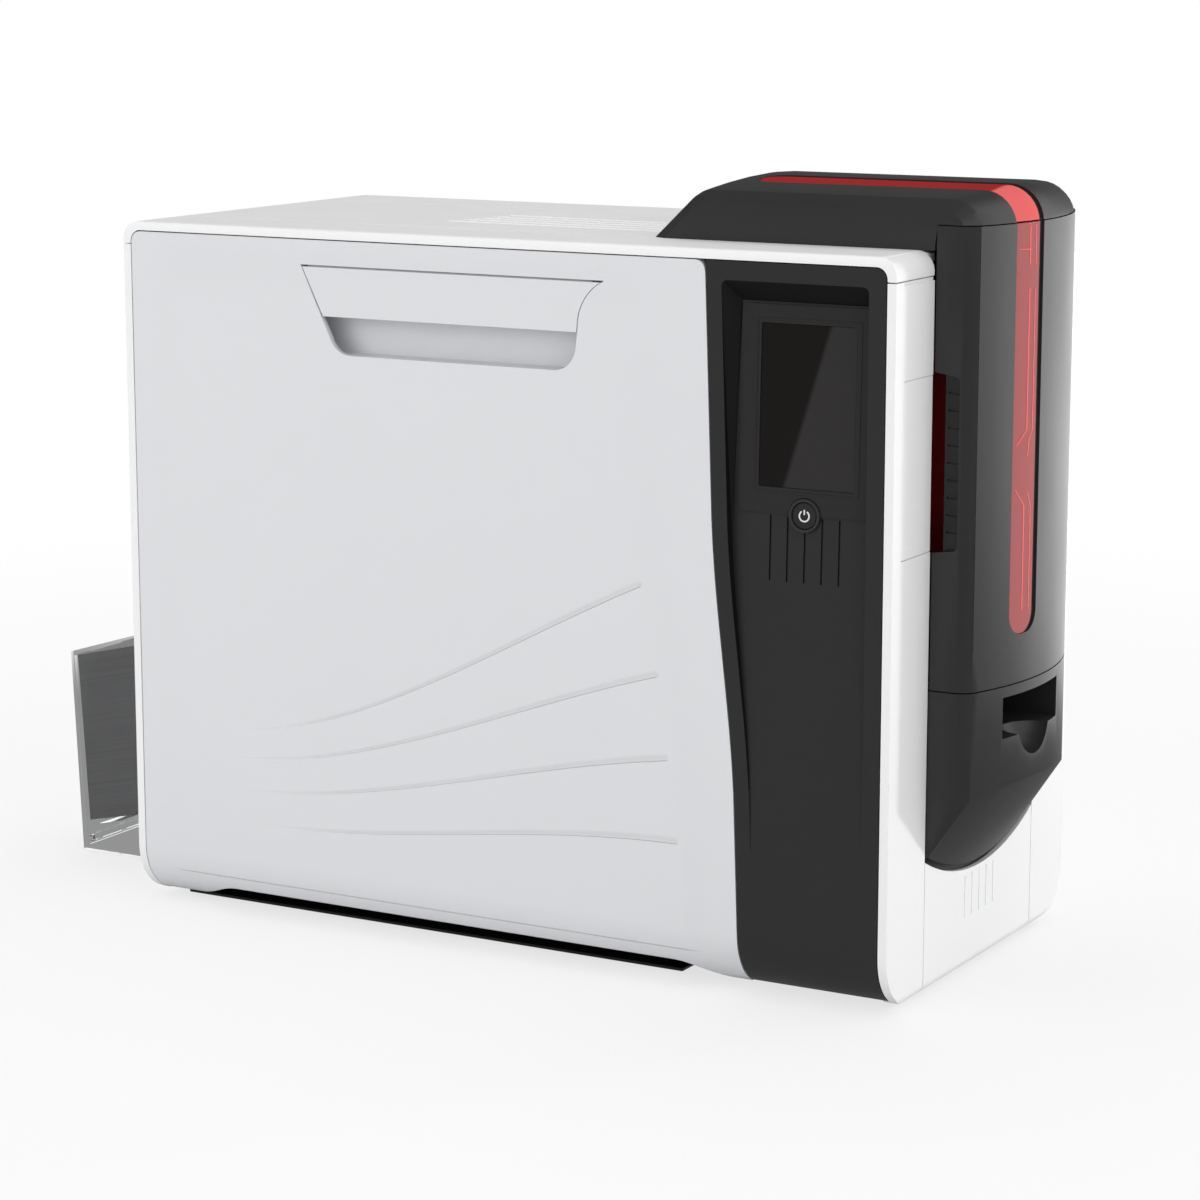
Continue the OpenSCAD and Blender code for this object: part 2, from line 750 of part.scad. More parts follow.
function hood_top(s, g) = s < hood_chamfer
    ? hood_side_z + (crown_z - crown_drop - hood_side_z) * s / hood_chamfer
    : crown_z - crown_drop * pow((tower_w / 2 - s) / (tower_w / 2 - hood_chamfer), 2);
function hood_front(y, s) = min(side_x + s * chamfer[0] / chamfer[1], bow_x(y, 0));
function hood_foot(s) = -hood_l + 6.8 * (1 - min(s / 3.6, 1));

// Outer form of the hood, drawn in by g
module hood_form(g) {
    hull()
        for (s = hood_in)
            for (far = [0, 1]) {
                y = far == 0 ? tower_y + s : tower_back_y - s;
                yg = far == 0 ? max(y, tower_y + g) : min(y, tower_back_y - g - eps);
                along_y(yg, yg + eps)
                    polygon(hood_profile(hood_top(s, g) - g, hood_front(y, s) - g,
                                         s < 3 ? 11 : 17 - g, hood_foot(s) + g, g > 1 ? 2 : 0));
            }
}

window_z = 181;
hood_window_x = -97;
gap_w = 3.8;

// Course of the level window over the hood's top, in (x, y), grown by g
module hood_window_plan(g) {
    translate([hood_window_x, window_y]) circle(window_w / 2 + g);
    translate([hood_window_x, window_y - window_w / 2 - g]) square([big, window_w + 2 * g]);
}

module hood() place() color(charcoal)
    difference() {
        union() {
            difference() {
                hood_form(0);
                hood_form(tower_wall);
            }
            // boss that holds the upper hinge pin of the feeder door
            block([door_x, feeder_pin[1] - 4, hood_seam_z],
                  [pin_out + 4, tower_back_y - 1, hood_seam_z + pin_seat - 1]);
        }
        translate([feeder_pin[0], feeder_pin[1], hood_seam_z - 1])
            cylinder(r = feeder_pin_r + seat, h = pin_seat - 1);
        block([door_x - seam, 0, 0], [big, body_w, hood_seam_z]);
        // room for the back corner of the feeder door as it swings
        block([door_x - seam - 1.6, tower_back_y - 6, 0], [big, body_w, hood_seam_z]);
        along_z(0, big) hood_window_plan(0.15);
        difference() {
            along_z(0, big) translate([0, gap_w]) hood_window_plan(0);
            hood_form(1.4);
        }
    }

module hood_window() place() color(red)
    intersection() {
        difference() {
            hood_form(0.3);
            hood_form(tower_wall);
        }
        along_z(hood_seam_z + seam / 2, big) hood_window_plan(0);
    }

slot_y = [card_y - 30, card_y + 30];
slot_z = [path_z - 7, path_z + 12.6];
housing_back_x = -4;
lip = 3;
under_r = 252;
under_a = atan(1.5);

// What stays above the sloping underside of the tower, raised by g
module above_underside(g) {
    translate([0, arc_y, arc_low_z + lip + g / cos(under_a)])
        rotate([0, 90 - under_a, 0])
            translate([-under_r, 0, -200])
                cylinder(r = under_r, h = 400, $fn = 200);
}

facet_z = 74.7;
facet_dip = 15.86;
facet_turn = 28.95;

// The chamfer widens into a slanting facet below this height: all that it takes off the near
// side, raised by g
module below_facet(g) {
    translate([0.3, tower_y, facet_z])
        rotate([0, 90 - facet_dip, 90 + facet_turn])
            translate([-big, -big, g - big])
                cube([2 * big, 2 * big, big]);
}

// Takes the facets off both sides
module off_facets(g) {
    difference() {
        children();
        below_facet(g);
        translate([0, 2 * arc_y, 0]) mirror([0, 1, 0]) below_facet(g);
    }
}

module feeder_housing() place() color(charcoal)
    difference() {
        union() {
            difference() {
                off_facets(0) intersection() {
                    along_z(20, door_seam_z - 0.4) tower_plan(0, 0.2);
                    above_underside(0);
                }
                off_facets(tower_wall) intersection() {
                    along_z(20, door_seam_z - 0.4 - tower_wall) tower_plan(tower_wall, -5);
                    above_underside(tower_wall);
                }
            }
            // chute round the card slot, flanges inside the casing and the shelf above
            intersection() {
                block([housing_back_x, slot_y[0] - 2, slot_z[0] - 2], [big, slot_y[1] + 2, slot_z[1] + 2]);
                along_z(0, door_seam_z) tower_plan(0, -big);
            }
            translate([tower_out, card_y, slot_z[0] + 5]) intersection() {
                sphere(r = 19);
                translate([-tower_out, 0, 0]) intersection() {
                    block([0, -30, -30], [100, 30, 0]);
                    translate([0, -card_y, -slot_z[0] - 5]) along_z(0, door_seam_z) tower_plan(0.5, 0);
                }
            }
            intersection() {
                block([-wall - 4, tower_y + 1, 20], [-wall - seam, tower_back_y - 1, door_seam_z - 0.4]);
                bar_x(arc_y, arc_low_z + arc_r - 6, -20, 1, arc_r);
            }
            // boss that holds the lower hinge pin of the feeder door
            block([pin_out - 4, feeder_pin[1] - 4, door_seam_z - pin_seat - 2],
                  [pin_out + 4, tower_back_y - 1, door_seam_z - 2]);
            off_facets(0) intersection() {
                block([-wall - 4, tower_y + 1, 62], [1, tower_back_y - 1, door_seam_z - 0.4]);
                difference() {
                    bar_x(arc_y, arc_low_z + arc_r + lip, -20, 1, arc_r);
                    block([-20, tower_y + 4, 0], [2, tower_back_y - 4, big]);
                }
            }
        }
        block([-wall - 5, slot_y[0], slot_z[0]], [big, slot_y[1], slot_z[1]]);
        translate([tower_out, card_y, slot_z[0] + 5]) sphere(r = 17);
        translate([feeder_pin[0], feeder_pin[1], door_seam_z - pin_seat - 3])
            cylinder(r = feeder_pin_r + seat, h = pin_seat + 6);
    }

mag_wall = 2.2;
mag_y = [card_y - card_w / 2 - 1 - mag_wall, card_y + card_w / 2 + 1 + mag_wall];
mag_x = [-67, 26];
mag_floor_z = door_seam_z + 2.4;
mag_top_z = body_h - 8;
pick_x = -20;
pick_r = 11;
pick_z = mag_floor_z - pick_r - 0.3;
stack_z = mag_floor_z + 0.3;
thumb_r = 30;

module card_magazine() place() color([0.3, 0.05, 0.06])
    difference() {
        union() {
            intersection() {
                block([mag_x[0], mag_y[0], mag_floor_z - 2], [mag_x[1], mag_y[1], mag_top_z]);
                along_z(0, big) tower_plan(tower_wall + 2.2, -big);
            }
            for (z = [mag_floor_z - 2, mag_top_z - 40])
                block([mag_x[0], mag_y[1] - eps, z], [mag_x[0] + 14, plate_y, z + 25]);
        }
        block([mag_x[0] + mag_wall, mag_y[0] + mag_wall, mag_floor_z], [big, mag_y[1] - mag_wall, big]);
        block([pick_x - pick_r - 1.5, card_y - 16, 0], [pick_x + pick_r + 1.5, card_y + 16, big]);
        // exit gap for the lowest card, and thumb openings in both side walls
        block([mag_x[0] - 1, mag_y[0] + mag_wall, mag_floor_z], [0, mag_y[1] - mag_wall, mag_floor_z + 1.6]);
        along_y(0, big) translate([mag_x[1] + 2, body_h - 98]) circle(thumb_r);
    }

module blank_cards() place() color([0.95, 0.95, 0.93])
    block([mag_x[0] + mag_wall + 0.5, card_y - card_w / 2, stack_z],
          [mag_x[0] + mag_wall + 0.5 + card_l, card_y + card_w / 2, stack_z + blank_h]);

weight_h = 18;

module card_weight() place() color(charcoal) {
    z = stack_z + blank_h + 0.3;
    difference() {
        block([mag_x[0] + mag_wall + 1.5, card_y - card_w / 2 + 2, z],
              [2, card_y + card_w / 2 - 2, z + weight_h]);
        block([mag_x[0] + mag_wall + 6, card_y - card_w / 2 + 6, z + 4],
              [-3, card_y + card_w / 2 - 6, z + weight_h + 1]);
    }
    block([-34, card_y - 2, z + 3], [-20, card_y + 2, z + weight_h + 8]);
}

grip_z = [body_h - 136, body_h - 56.5];
grip_w = 13;
grip_flare = 1.9;
grip_r = 1.8;
groove_r = 0.45;
groove_z = 167;
pin_out = 4.2;
feeder_pin = [pin_out, tower_back_y - 3.6];
feeder_pin_r = 1.6;
pin_seat = 8;
pin_l = 32;
ear_r = 3.2;

// Opening for the fingers in (x, z), flaring towards the casing
module grip_outline() {
    difference() {
        polygon([[-1, grip_z[0] - grip_flare], [grip_w, grip_z[0]],
                 [grip_w, grip_z[1]], [-1, grip_z[1] + grip_flare]]);
        translate([grip_w, grip_z[0]]) mirror([1, 0]) corner_cut(grip_r);
        translate([grip_w, grip_z[1]]) rotate(180) corner_cut(grip_r);
    }
}

// Outline of the level window in (y, z), grown by g
module window_outline(g) {
    translate([window_y, window_z]) circle(window_w / 2 + g);
    translate([window_y - window_w / 2 - g, window_z]) square([window_w + 2 * g, big]);
}

module feeder_door() place() color(charcoal)
    difference() {
        union() {
            along_z(door_seam_z + 0.2, hood_seam_z - 0.5) difference() {
                tower_plan(0, door_x);
                tower_plan(tower_wall, -5);
            }
            for (z = [door_seam_z + 0.2, hood_seam_z - 0.5 - tower_wall])
                along_z(z, z + tower_wall) difference() {
                    tower_plan(1, door_x);
                    tower_plan(tower_wall + 1.5, -5);
                }
            for (z = [door_seam_z + 6, hood_seam_z - 26])
                translate([feeder_pin[0], feeder_pin[1], z]) cylinder(r = ear_r, h = 16);
        }
        along_y(tower_y - 1, tower_y + 6) grip_outline();
        // shadow lines between the side chamfers and the bowed front
        for (y = [tower_y + chamfer[1], tower_back_y - chamfer[1]])
            translate([side_x + chamfer[0], y, groove_z]) cylinder(r = groove_r, h = big, $fn = 12);
        along_x(side_x, big) window_outline(0.15);
        difference() {
            along_x(side_x, big) translate([gap_w, 0]) window_outline(0);
            along_z(0, big) tower_plan(1.3, -5);
        }
        translate([feeder_pin[0], feeder_pin[1], 0]) cylinder(r = feeder_pin_r + run, h = big);
    }

module feeder_window() place() color(red)
    intersection() {
        along_z(door_seam_z, hood_seam_z - 0.5) difference() {
            tower_plan(0.3, door_x);
            tower_plan(tower_wall, -5);
        }
        along_x(side_x, big) window_outline(0);
    }

rib_count = 9;
rib_pitch = 8;

module grip_insert() place() color(black)
    difference() {
        union() {
            block([5, tower_y + tower_wall, grip_z[0] - 3],
                  [grip_w + 0.4, tower_y + tower_wall + 2, grip_z[1] + 3]);
            block([5, tower_y + tower_wall + 2 - eps, grip_z[0] - 3],
                  [7, tower_y + tower_wall + 7, grip_z[1] + 3]);
        }
        for (i = [0 : rib_count - 1])
            translate([0, tower_y + tower_wall, grip_z[0] + 8 + i * rib_pitch])
                block([6.5, -1, -0.5], [grip_w, 0.8, 0.5]);
    }

module feeder_hinge_pin() place() color(steel)
    translate([feeder_pin[0], feeder_pin[1], 0])
        for (z = [door_seam_z - pin_seat, hood_seam_z - pin_l + pin_seat - 3])
            translate([0, 0, z]) cylinder(r = feeder_pin_r, h = pin_l);

module pick_roller() place() color(rubber)
    difference() {
        union() {
            bar_y(pick_x, pick_z, card_y - 12, card_y + 12, pick_r);
            bar_y(pick_x, pick_z, card_y - 14, plate_y - 1, spindle_r + 2.5);
        }
        bar_y(pick_x, pick_z, 0, plate_y, spindle_r + run);
    }

// ---- mechanism ----------------------------------------------------------------------------

spool_y = [card_y - 30, card_y + 30];
film_x = -body_l + 51;
ribbon_x = -140;
ribbon_supply = [ribbon_x, body_h - 60];
ribbon_takeup = [ribbon_x, path_z + 75];
film_supply = [film_x, body_h - 70];
film_takeup = [film_x, path_z + 60];
platen = [-body_l + 161, path_z + 108];
heat = [-body_l + 123, path_z + 0.8 + heat_r + 0.5];
head_pivot = [-body_l + 208, path_z + 70];
nose_r = 2.6;
nose = [platen[0] + platen_r + 1.9 + nose_r, platen[1]];
roller_x = [-108, -body_l + 191, -body_l + 27];
motor_at = [-170, path_z - 62];
spindles = [ribbon_supply, ribbon_takeup, film_supply, film_takeup, platen, heat];
drive_z = path_z - roller_r - 0.4;
pinch_r = 5.5;
pinch_z = path_z + 0.8 + pinch_r + 0.2;
pulley_r = 8;
pulley_y = [plate_y + plate_t + 1.5, plate_y + plate_t + 8.5];

cable_x = [-body_l + 93, -80];
cable_half_l = 18;
cable_h = 18;
cable_z = body_h - 50;

module chassis_plate() place() color(steel)
    difference() {
        union() {
            block([-body_l + rim + 6, plate_y, shell_lift + tray_t], [-10, plate_y + plate_t, skirt_z - 4]);
            block([-body_l + rim + 6, plate_y, shell_lift + tray_t],
                  [-60, plate_y + 14, shell_lift + tray_t + 1.6]);
            for (p = spindles)
                bar_y(p[0], p[1], spool_y[0] - 4, plate_y + eps, spindle_r);
            bar_y(pick_x, pick_z, card_y - 15, plate_y + eps, spindle_r);
            bar_y(head_pivot[0], head_pivot[1], card_y - 32, plate_y + eps, spindle_r);
        }
        for (x = roller_x)
            bar_y(x, drive_z, plate_y - 1, plate_y + plate_t + 1, shaft_r + run);
        bar_y(motor_at[0], motor_at[1], plate_y - 1, plate_y + plate_t + 1, 8);
        for (x = cable_x)
            block([x - cable_half_l, plate_y - 1, cable_z],
                  [x + cable_half_l, plate_y + plate_t + 1, cable_z + cable_h]);
        for (p = screw_places)
            bar_y(p[0], p[1], plate_y - 1, plate_y + plate_t + 1, 1.6);
    }

rail_y = [card_y - card_w / 2 - 7.5, plate_y];
rail_t = 7;
rail_x = [-body_l + 9, -66];
tie_x = -170;

module transport_frame() place() color(charcoal)
    difference() {
        union() {
            for (y = [rail_y[0], rail_y[1] - rail_t])
                block([rail_x[0], y, path_z - 16], [rail_x[1], y + rail_t, path_z + 14]);
            for (x = [rail_x[0], rail_x[1] - 6])
                block([x, rail_y[0], path_z - 16], [x + 6, rail_y[1], path_z - 3]);
            for (x = [tie_x, heat[0]])
                block([x - 14, rail_y[0], path_z - 4], [x + 14, rail_y[1], path_z - 1.2]);
        }
        for (x = roller_x) {
            bar_y(x, drive_z, 0, plate_y + 1, shaft_r + run);
            bar_y(x, pinch_z, rail_y[0] + 2, rail_y[1] - 2, shaft_r + run);
        }
        bar_y(heat[0], heat[1], 0, plate_y + 1, heat_r + 2);
    }

module drive_roller(k) place() {
    x = roller_x[k];
    color(rubber) bar_y(x, drive_z, rail_y[0] + rail_t + 1, rail_y[1] - rail_t - 1, roller_r);
    color(steel) bar_y(x, drive_z, rail_y[0] + 1, pulley_y[1] + 1, shaft_r);
    color(black) bar_y(x, drive_z, pulley_y[0], pulley_y[1], pulley_r);
}
module drive_roller_1() { drive_roller(0); }
module drive_roller_2() { drive_roller(1); }
module drive_roller_3() { drive_roller(2); }

module pinch_roller(k) place() {
    x = roller_x[k];
    color(rubber) bar_y(x, pinch_z, rail_y[0] + rail_t + 1, rail_y[1] - rail_t - 1, pinch_r);
    color(steel) bar_y(x, pinch_z, rail_y[0] + 2.5, rail_y[1] - 2.5, shaft_r);
}
module pinch_roller_1() { pinch_roller(0); }
module pinch_roller_2() { pinch_roller(1); }
module pinch_roller_3() { pinch_roller(2); }

// A spool on its spindle: core, two flanges and the wound film
module spool(at, wound_r, tone) place()
    difference() {
        union() {
            color(tone) bar_y(at[0], at[1], spool_y[0] + 2, spool_y[1] - 2, wound_r);
            color(charcoal) for (y = [spool_y[0], spool_y[1] - 2])
                bar_y(at[0], at[1], y, y + 2, max(wound_r, core_r) + 2.5);
            color(charcoal) bar_y(at[0], at[1], spool_y[0] - 3, spool_y[1] + 3, 8);
        }
        bar_y(at[0], at[1], 0, body_w, spindle_r + run);
    }

module ribbon_supply_spool() { spool(ribbon_supply, film_r - 4, [0.1, 0.1, 0.25]); }
module ribbon_takeup_spool() { spool(ribbon_takeup, core_r, [0.12, 0.1, 0.1]); }
module film_supply_spool() { spool(film_supply, film_r, amber); }
module film_takeup_spool() { spool(film_takeup, core_r + 2, amber); }

module plain_roller(at, r) place()
    difference() {
        union() {
            bar_y(at[0], at[1], spool_y[0] + 2, spool_y[1] - 2, r);
            bar_y(at[0], at[1], spool_y[0] - 3, spool_y[1] + 3, spindle_r + 3);
        }
        bar_y(at[0], at[1], 0, body_w, spindle_r + run);
    }

module platen_roller() { color(rubber) plain_roller(platen, platen_r); }
module transfer_roller() { color([0.55, 0.12, 0.1]) plain_roller(heat, heat_r); }

web_t = 0.4;
web_y = [spool_y[0] + 4, spool_y[1] - 4];

function unit(v) = v / norm(v);
function left_of(v) = [-v[1], v[0]];
// Ends of the straight that runs from circle a to circle b, on the left of both when s is 1
// and crossing from one side to the other when the signs differ
function straight(a, ra, sa, b, rb, sb) =
    let (d = norm(b - a), u = unit(b - a), k = (sb * rb - sa * ra) / d,
         n = [-u[1] * sqrt(1 - k * k) - u[0] * k, u[0] * sqrt(1 - k * k) - u[1] * k])
    [a + sa * ra * n, b + sb * rb * n];

// A flat web between two round things, standing clear of both
module web(a, ra, sa, b, rb, sb) {
    line = straight(a, ra, sa, b, rb, sb);
    along = unit(line[1] - line[0]);
    side = left_of(along) * web_t / 2;
    along_y(web_y[0], web_y[1])
        polygon([line[0] - side, line[1] - side, line[1] + side, line[0] + side]);
}

// A piece of web bent round a roller from angle a0 to a1
module wrap(at, r, a0, a1) {
    along_y(web_y[0], web_y[1])
        intersection() {
            translate(at) difference() {
                circle(r + web_t / 2);
                circle(r - web_t / 2);
            }
            polygon(concat([at], arc_points(at[0], at[1], r * 2, a0, a1, 6)));
        }
}

web_gap = 0.5;
film_off = 0.6;

function turn(at, p) = atan2(p[1] - at[1], p[0] - at[0]);

// Length of web that lies round a roller, between the straights that run on to it and off it
module bend(at, r, on, off) {
    a0 = turn(at, on);
    a1 = turn(at, off);
    span = (a1 - a0 + 720) % 360;
    wrap(at, r, span > 180 ? a1 : a0, span > 180 ? a1 + 360 - span : a0 + span);
}

// Ribbon from its supply round the printhead's nose and back to its take-up
module ink_ribbon() place() color([0.16, 0.1, 0.22, 0.8]) {
    rs = film_r - 4 + web_gap;
    rt = core_r + web_gap;
    rn = nose_r + web_gap;
    web(ribbon_supply, rs, -1, nose, rn, -1);
    bend(nose, rn, straight(ribbon_supply, rs, -1, nose, rn, -1)[1],
         straight(nose, rn, -1, ribbon_takeup, rt, -1)[0]);
    web(nose, rn, -1, ribbon_takeup, rt, -1);
}

// Film from its supply over the platen, under the heated roller and up to its take-up
module transfer_film() place() color([0.85, 0.7, 0.4, 0.6]) {
    rs = film_r + web_gap;
    rp = platen_r + film_off;
    rh = heat_r + film_off;
    rt = core_r + 2 + web_gap;
    web(film_supply, rs, 1, platen, rp, 1);
    bend(platen, rp, straight(film_supply, rs, 1, platen, rp, 1)[1],
         straight(platen, rp, 1, heat, rh, 1)[0]);
    web(platen, rp, 1, heat, rh, 1);
    bend(heat, rh, straight(platen, rp, 1, heat, rh, 1)[1],
         straight(heat, rh, 1, film_takeup, rt, 1)[0]);
    web(heat, rh, 1, film_takeup, rt, 1);
}

arm_y = [card_y - card_w / 2 - 4, card_y + card_w / 2];
arm_t = 4;
head_half_w = card_w / 2 - 0.5;
head_l = 18;
head_half_h = 4;

module printhead_arm() place() color(steel)
    difference() {
        union() {
            bar_y(head_pivot[0], head_pivot[1], arm_y[0], arm_y[1] + arm_t, 6);
            for (y = arm_y) {
                bar_y(head_pivot[0], head_pivot[1], y, y + arm_t, 9);
                along_y(y, y + arm_t)
                    polygon([[head_pivot[0] - 8, head_pivot[1] + 4], [nose[0] + 4, nose[1] - head_half_h],
                             [nose[0] + 4, nose[1] + head_half_h + 3],
                             [nose[0] + head_l + 6, nose[1] + head_half_h + 3],
                             [head_pivot[0] + 8, head_pivot[1] + 4]]);
            }
            block([nose[0] + 6, arm_y[0], nose[1] + head_half_h],
                  [nose[0] + head_l + 4, arm_y[1] + arm_t, nose[1] + head_half_h + 3]);
        }
        bar_y(head_pivot[0], head_pivot[1], 0, body_w, spindle_r + run);
    }

module thermal_printhead() place() color([0.75, 0.72, 0.62]) {
    bar_y(nose[0], nose[1], card_y - head_half_w, card_y + head_half_w, nose_r);
    block([nose[0], card_y - head_half_w, nose[1] - nose_r + 0.4],
          [nose[0] + 5, card_y + head_half_w, nose[1] + nose_r - 0.4]);
    block([nose[0] + 4, card_y - head_half_w, nose[1] - head_half_h],
          [nose[0] + head_l, card_y + head_half_w, nose[1] + head_half_h]);
}

module drive_motor() place() color([0.25, 0.25, 0.26])
    difference() {
        union() {
            translate([motor_at[0] - 21, plate_y + plate_t + 14, motor_at[1] - 21]) cube([42, 34, 42]);
            for (dx = [-17, 17])
                for (dz = [-17, 17])
                        bar_y(motor_at[0] + dx, motor_at[1] + dz, plate_y + plate_t,
                          plate_y + plate_t + 14 + eps, 3);
        }
        bar_y(motor_at[0], motor_at[1], plate_y + plate_t + 13, plate_y + plate_t + 26, shaft_r + run);
    }

module motor_pulley() place() {
    color(steel) bar_y(motor_at[0], motor_at[1], plate_y - 3, plate_y + plate_t + 25, shaft_r);
    color(black) bar_y(motor_at[0], motor_at[1], pulley_y[0], pulley_y[1], pulley_r);
}

belt_t = 1.4;
belt_gap = 0.35;
belt_points = [[roller_x[0], drive_z], [roller_x[2], drive_z], motor_at];

// The belt runs round the two outer pulleys and the motor's, and over the middle one
module belt_area(r) {
    p = belt_points;
    union() {
        for (q = p)
            translate(q) circle(r);
        polygon([for (k = [0 : 2]) for (e = straight(p[k], r, -1, p[(k + 1) % 3], r, -1)) e]);
        polygon([for (q = p) q]);
    }
}

module timing_belt() place() color(black)
    along_y(pulley_y[0] + 1, pulley_y[1] - 1)
        difference() {
            belt_area(pulley_r + belt_gap + belt_t);
            belt_area(pulley_r + belt_gap);
        }

board_t = 1.6;

board_at = [-body_l + 93, body_h - 150];
board_l = 140;
board_h = 125;
stand_l = 8;
stand_r = 2.5;
stand_in = 6;
chip_half = 11;
chip_t = 4;
chips = [[30, 90], [80, 90], [40, 35], [105, 40]];

module main_board() place() translate([board_at[0], plate_y + plate_t, board_at[1]]) {
    color(green) block([0, stand_l, 0], [board_l, stand_l + board_t, board_h]);
    color([0.15, 0.15, 0.16]) for (p = chips)
        translate([p[0], stand_l + board_t, p[1]])
            block([-chip_half, -eps, -chip_half], [chip_half, chip_t, chip_half]);
    color(steel) for (x = [stand_in, board_l - stand_in])
        for (z = [stand_in, board_h - stand_in])
            bar_y(x, z, 0, stand_l + eps, stand_r);
}

supply_x = [-body_l + 23, -body_l + 133];
supply_y = [plate_y + plate_t + 16, body_w - long_edge_r];
supply_z = [shell_lift + tray_t, shell_lift + 80];
supply_slots = 8;
supply_pitch = 12;
supply_edge = 8;

module power_supply() place() color(steel)
    difference() {
        block([supply_x[0], supply_y[0], supply_z[0]], [supply_x[1], supply_y[1], supply_z[1]]);
        for (i = [0 : supply_slots - 1])
            translate([supply_x[0] + supply_edge + i * supply_pitch, 0, supply_z[1]])
                block([0, supply_y[0] + 6, -4], [supply_pitch / 2, supply_y[1] - 6, 1]);
    }

fan_d = 14;
fan_y = rear_y - fan_d;
blade_count = 7;

module fan_housing() place() color(black) {
    difference() {
        translate([fan_x - fan_frame / 2, fan_y, fan_z - fan_frame / 2]) cube([fan_frame, fan_d, fan_frame]);
        bar_y(fan_x, fan_z, fan_y - 1, rear_y + 1, fan_r);
    }
    // finger guard in the cover's opening, and the spider that carries the rotor
    for (r = [fan_r - 4, fan_r - 12, fan_r - 20])
        translate([fan_x, rear_y + 2.4, fan_z]) rotate([90, 0, 0]) difference() {
            cylinder(r = r, h = 2.4);
            translate([0, 0, -1]) cylinder(r = r - 1.4, h = 5);
        }
    for (a = [0, 90])
        translate([fan_x, rear_y, fan_z]) rotate([0, a, 0])
        {
            block([-fan_r - 1, -1.5, -1.2], [fan_r + 1, 0, 1.2]);
            block([-fan_r + 0.5, -eps, -1.2], [fan_r - 0.5, 1.5, 1.2]);
        }
    bar_y(fan_x, fan_z, fan_y + 4, rear_y, 2);
}

module fan_rotor() place() color([0.1, 0.1, 0.11])
    difference() {
        union() {
            bar_y(fan_x, fan_z, fan_y + 1, fan_y + 11, 9);
            for (i = [0 : blade_count - 1])
                translate([fan_x, fan_y + 6, fan_z]) rotate([0, i * 360 / blade_count, 0])
                    rotate([35, 0, 0]) block([7, -0.7, -5.5], [fan_r - 1.5, 0.7, 5.5]);
        }
        bar_y(fan_x, fan_z, fan_y + 3, rear_y, 2 + run);
    }

module mains_inlet() place() color(black)
    difference() {
        union() {
            block([inlet_x - inlet_w / 2, rear_y - 16, inlet_z - inlet_h / 2],
                  [inlet_x + inlet_w / 2, body_w, inlet_z + inlet_h / 2]);
            block([inlet_x - inlet_w / 2 - 3, rear_y - 2, inlet_z - inlet_h / 2 - 3],
                  [inlet_x + inlet_w / 2 + 3, rear_y - 0, inlet_z + inlet_h / 2 + 3]);
        }
        difference() {
            block([inlet_x - 11.5, body_w - 15, inlet_z - 8], [inlet_x + 11.5, body_w + 1, inlet_z + 8]);
            for (p = [[-6, -2], [6, -2], [0, 3]])
                block([inlet_x + p[0] - 1, body_w - 16, inlet_z + p[1] - 2],
                      [inlet_x + p[0] + 1, body_w - 5, inlet_z + p[1] + 2]);
        }
    }

module data_ports() place() color(steel)
    difference() {
        block([ports_x - ports_w / 2, rear_y - 14, ports_z - ports_h / 2],
              [ports_x + ports_w / 2, body_w - 0.5, ports_z + ports_h / 2]);
        block([ports_x - 16, rear_y - 11, ports_z - 6], [ports_x - 3.5, body_w + 1, ports_z + 6]);
        block([ports_x + 5, rear_y - 11, ports_z - 4.5], [ports_x + 14, body_w + 1, ports_z + 4]);
    }

// ---- output hopper ------------------------------------------------------------------------

hopper_in_w = card_w + 1.6;
hopper_y = [card_y - hopper_in_w / 2 - hopper_wall, card_y + hopper_in_w / 2 + hopper_wall];
hopper_lean = 6;
hopper_root_x = -body_l;
hopper_foot_x = -body_l - hopper_out + hopper_lean;
hopper_rise = 28;
deck_a = 13;
deck_z = 17.5;
flap_t = 2;
flap_pin = [hopper_foot_x + flap_t + 2.4, 7.5];
flap_pin_r = 1.8;
flap_a = atan2(hopper_lean, hopper_h - 7.5);
flap_face = [hopper_foot_x + flap_t + 0.9, -tan(flap_a)];

// Height of the deck's surface at x
function deck_top(x) = deck_z + (hopper_out - 12 + x - hopper_root_x) * tan(deck_a);

// Side of the hopper in (x, z)
module hopper_side() {
    polygon([[hopper_root_x, 1], [hopper_foot_x - 1, 1], [-body_l - hopper_out, hopper_h],
             [hopper_root_x, hopper_h + hopper_rise]]);
}

module output_hopper() place() color(clear)
    difference() {
        union() {
            for (y = [hopper_y[0], hopper_y[1] - hopper_wall])
                along_y(y, y + hopper_wall) hopper_side();
            translate([hopper_root_x, 0, deck_top(hopper_root_x)]) rotate([0, -deck_a, 0])
                block([-(hopper_out - 14) / cos(deck_a), hopper_y[0] + 1, -hopper_wall],
                      [1, hopper_y[1] - 1, 0]);
            block([hopper_root_x - hopper_wall, hopper_y[0] - 6, 8], [hopper_root_x, hopper_y[1] + 6, 34]);
        }
        block([hopper_root_x, 0, 0], [0, body_w, big]);
        for (y = [hopper_y[0] - 1, hopper_y[1] - hopper_wall - 1])
            bar_y(flap_pin[0], flap_pin[1], y, y + hopper_wall + 2, flap_pin_r + run);
    }

flap_ear_y = [card_y - 24, card_y - 2.5, card_y + 19];

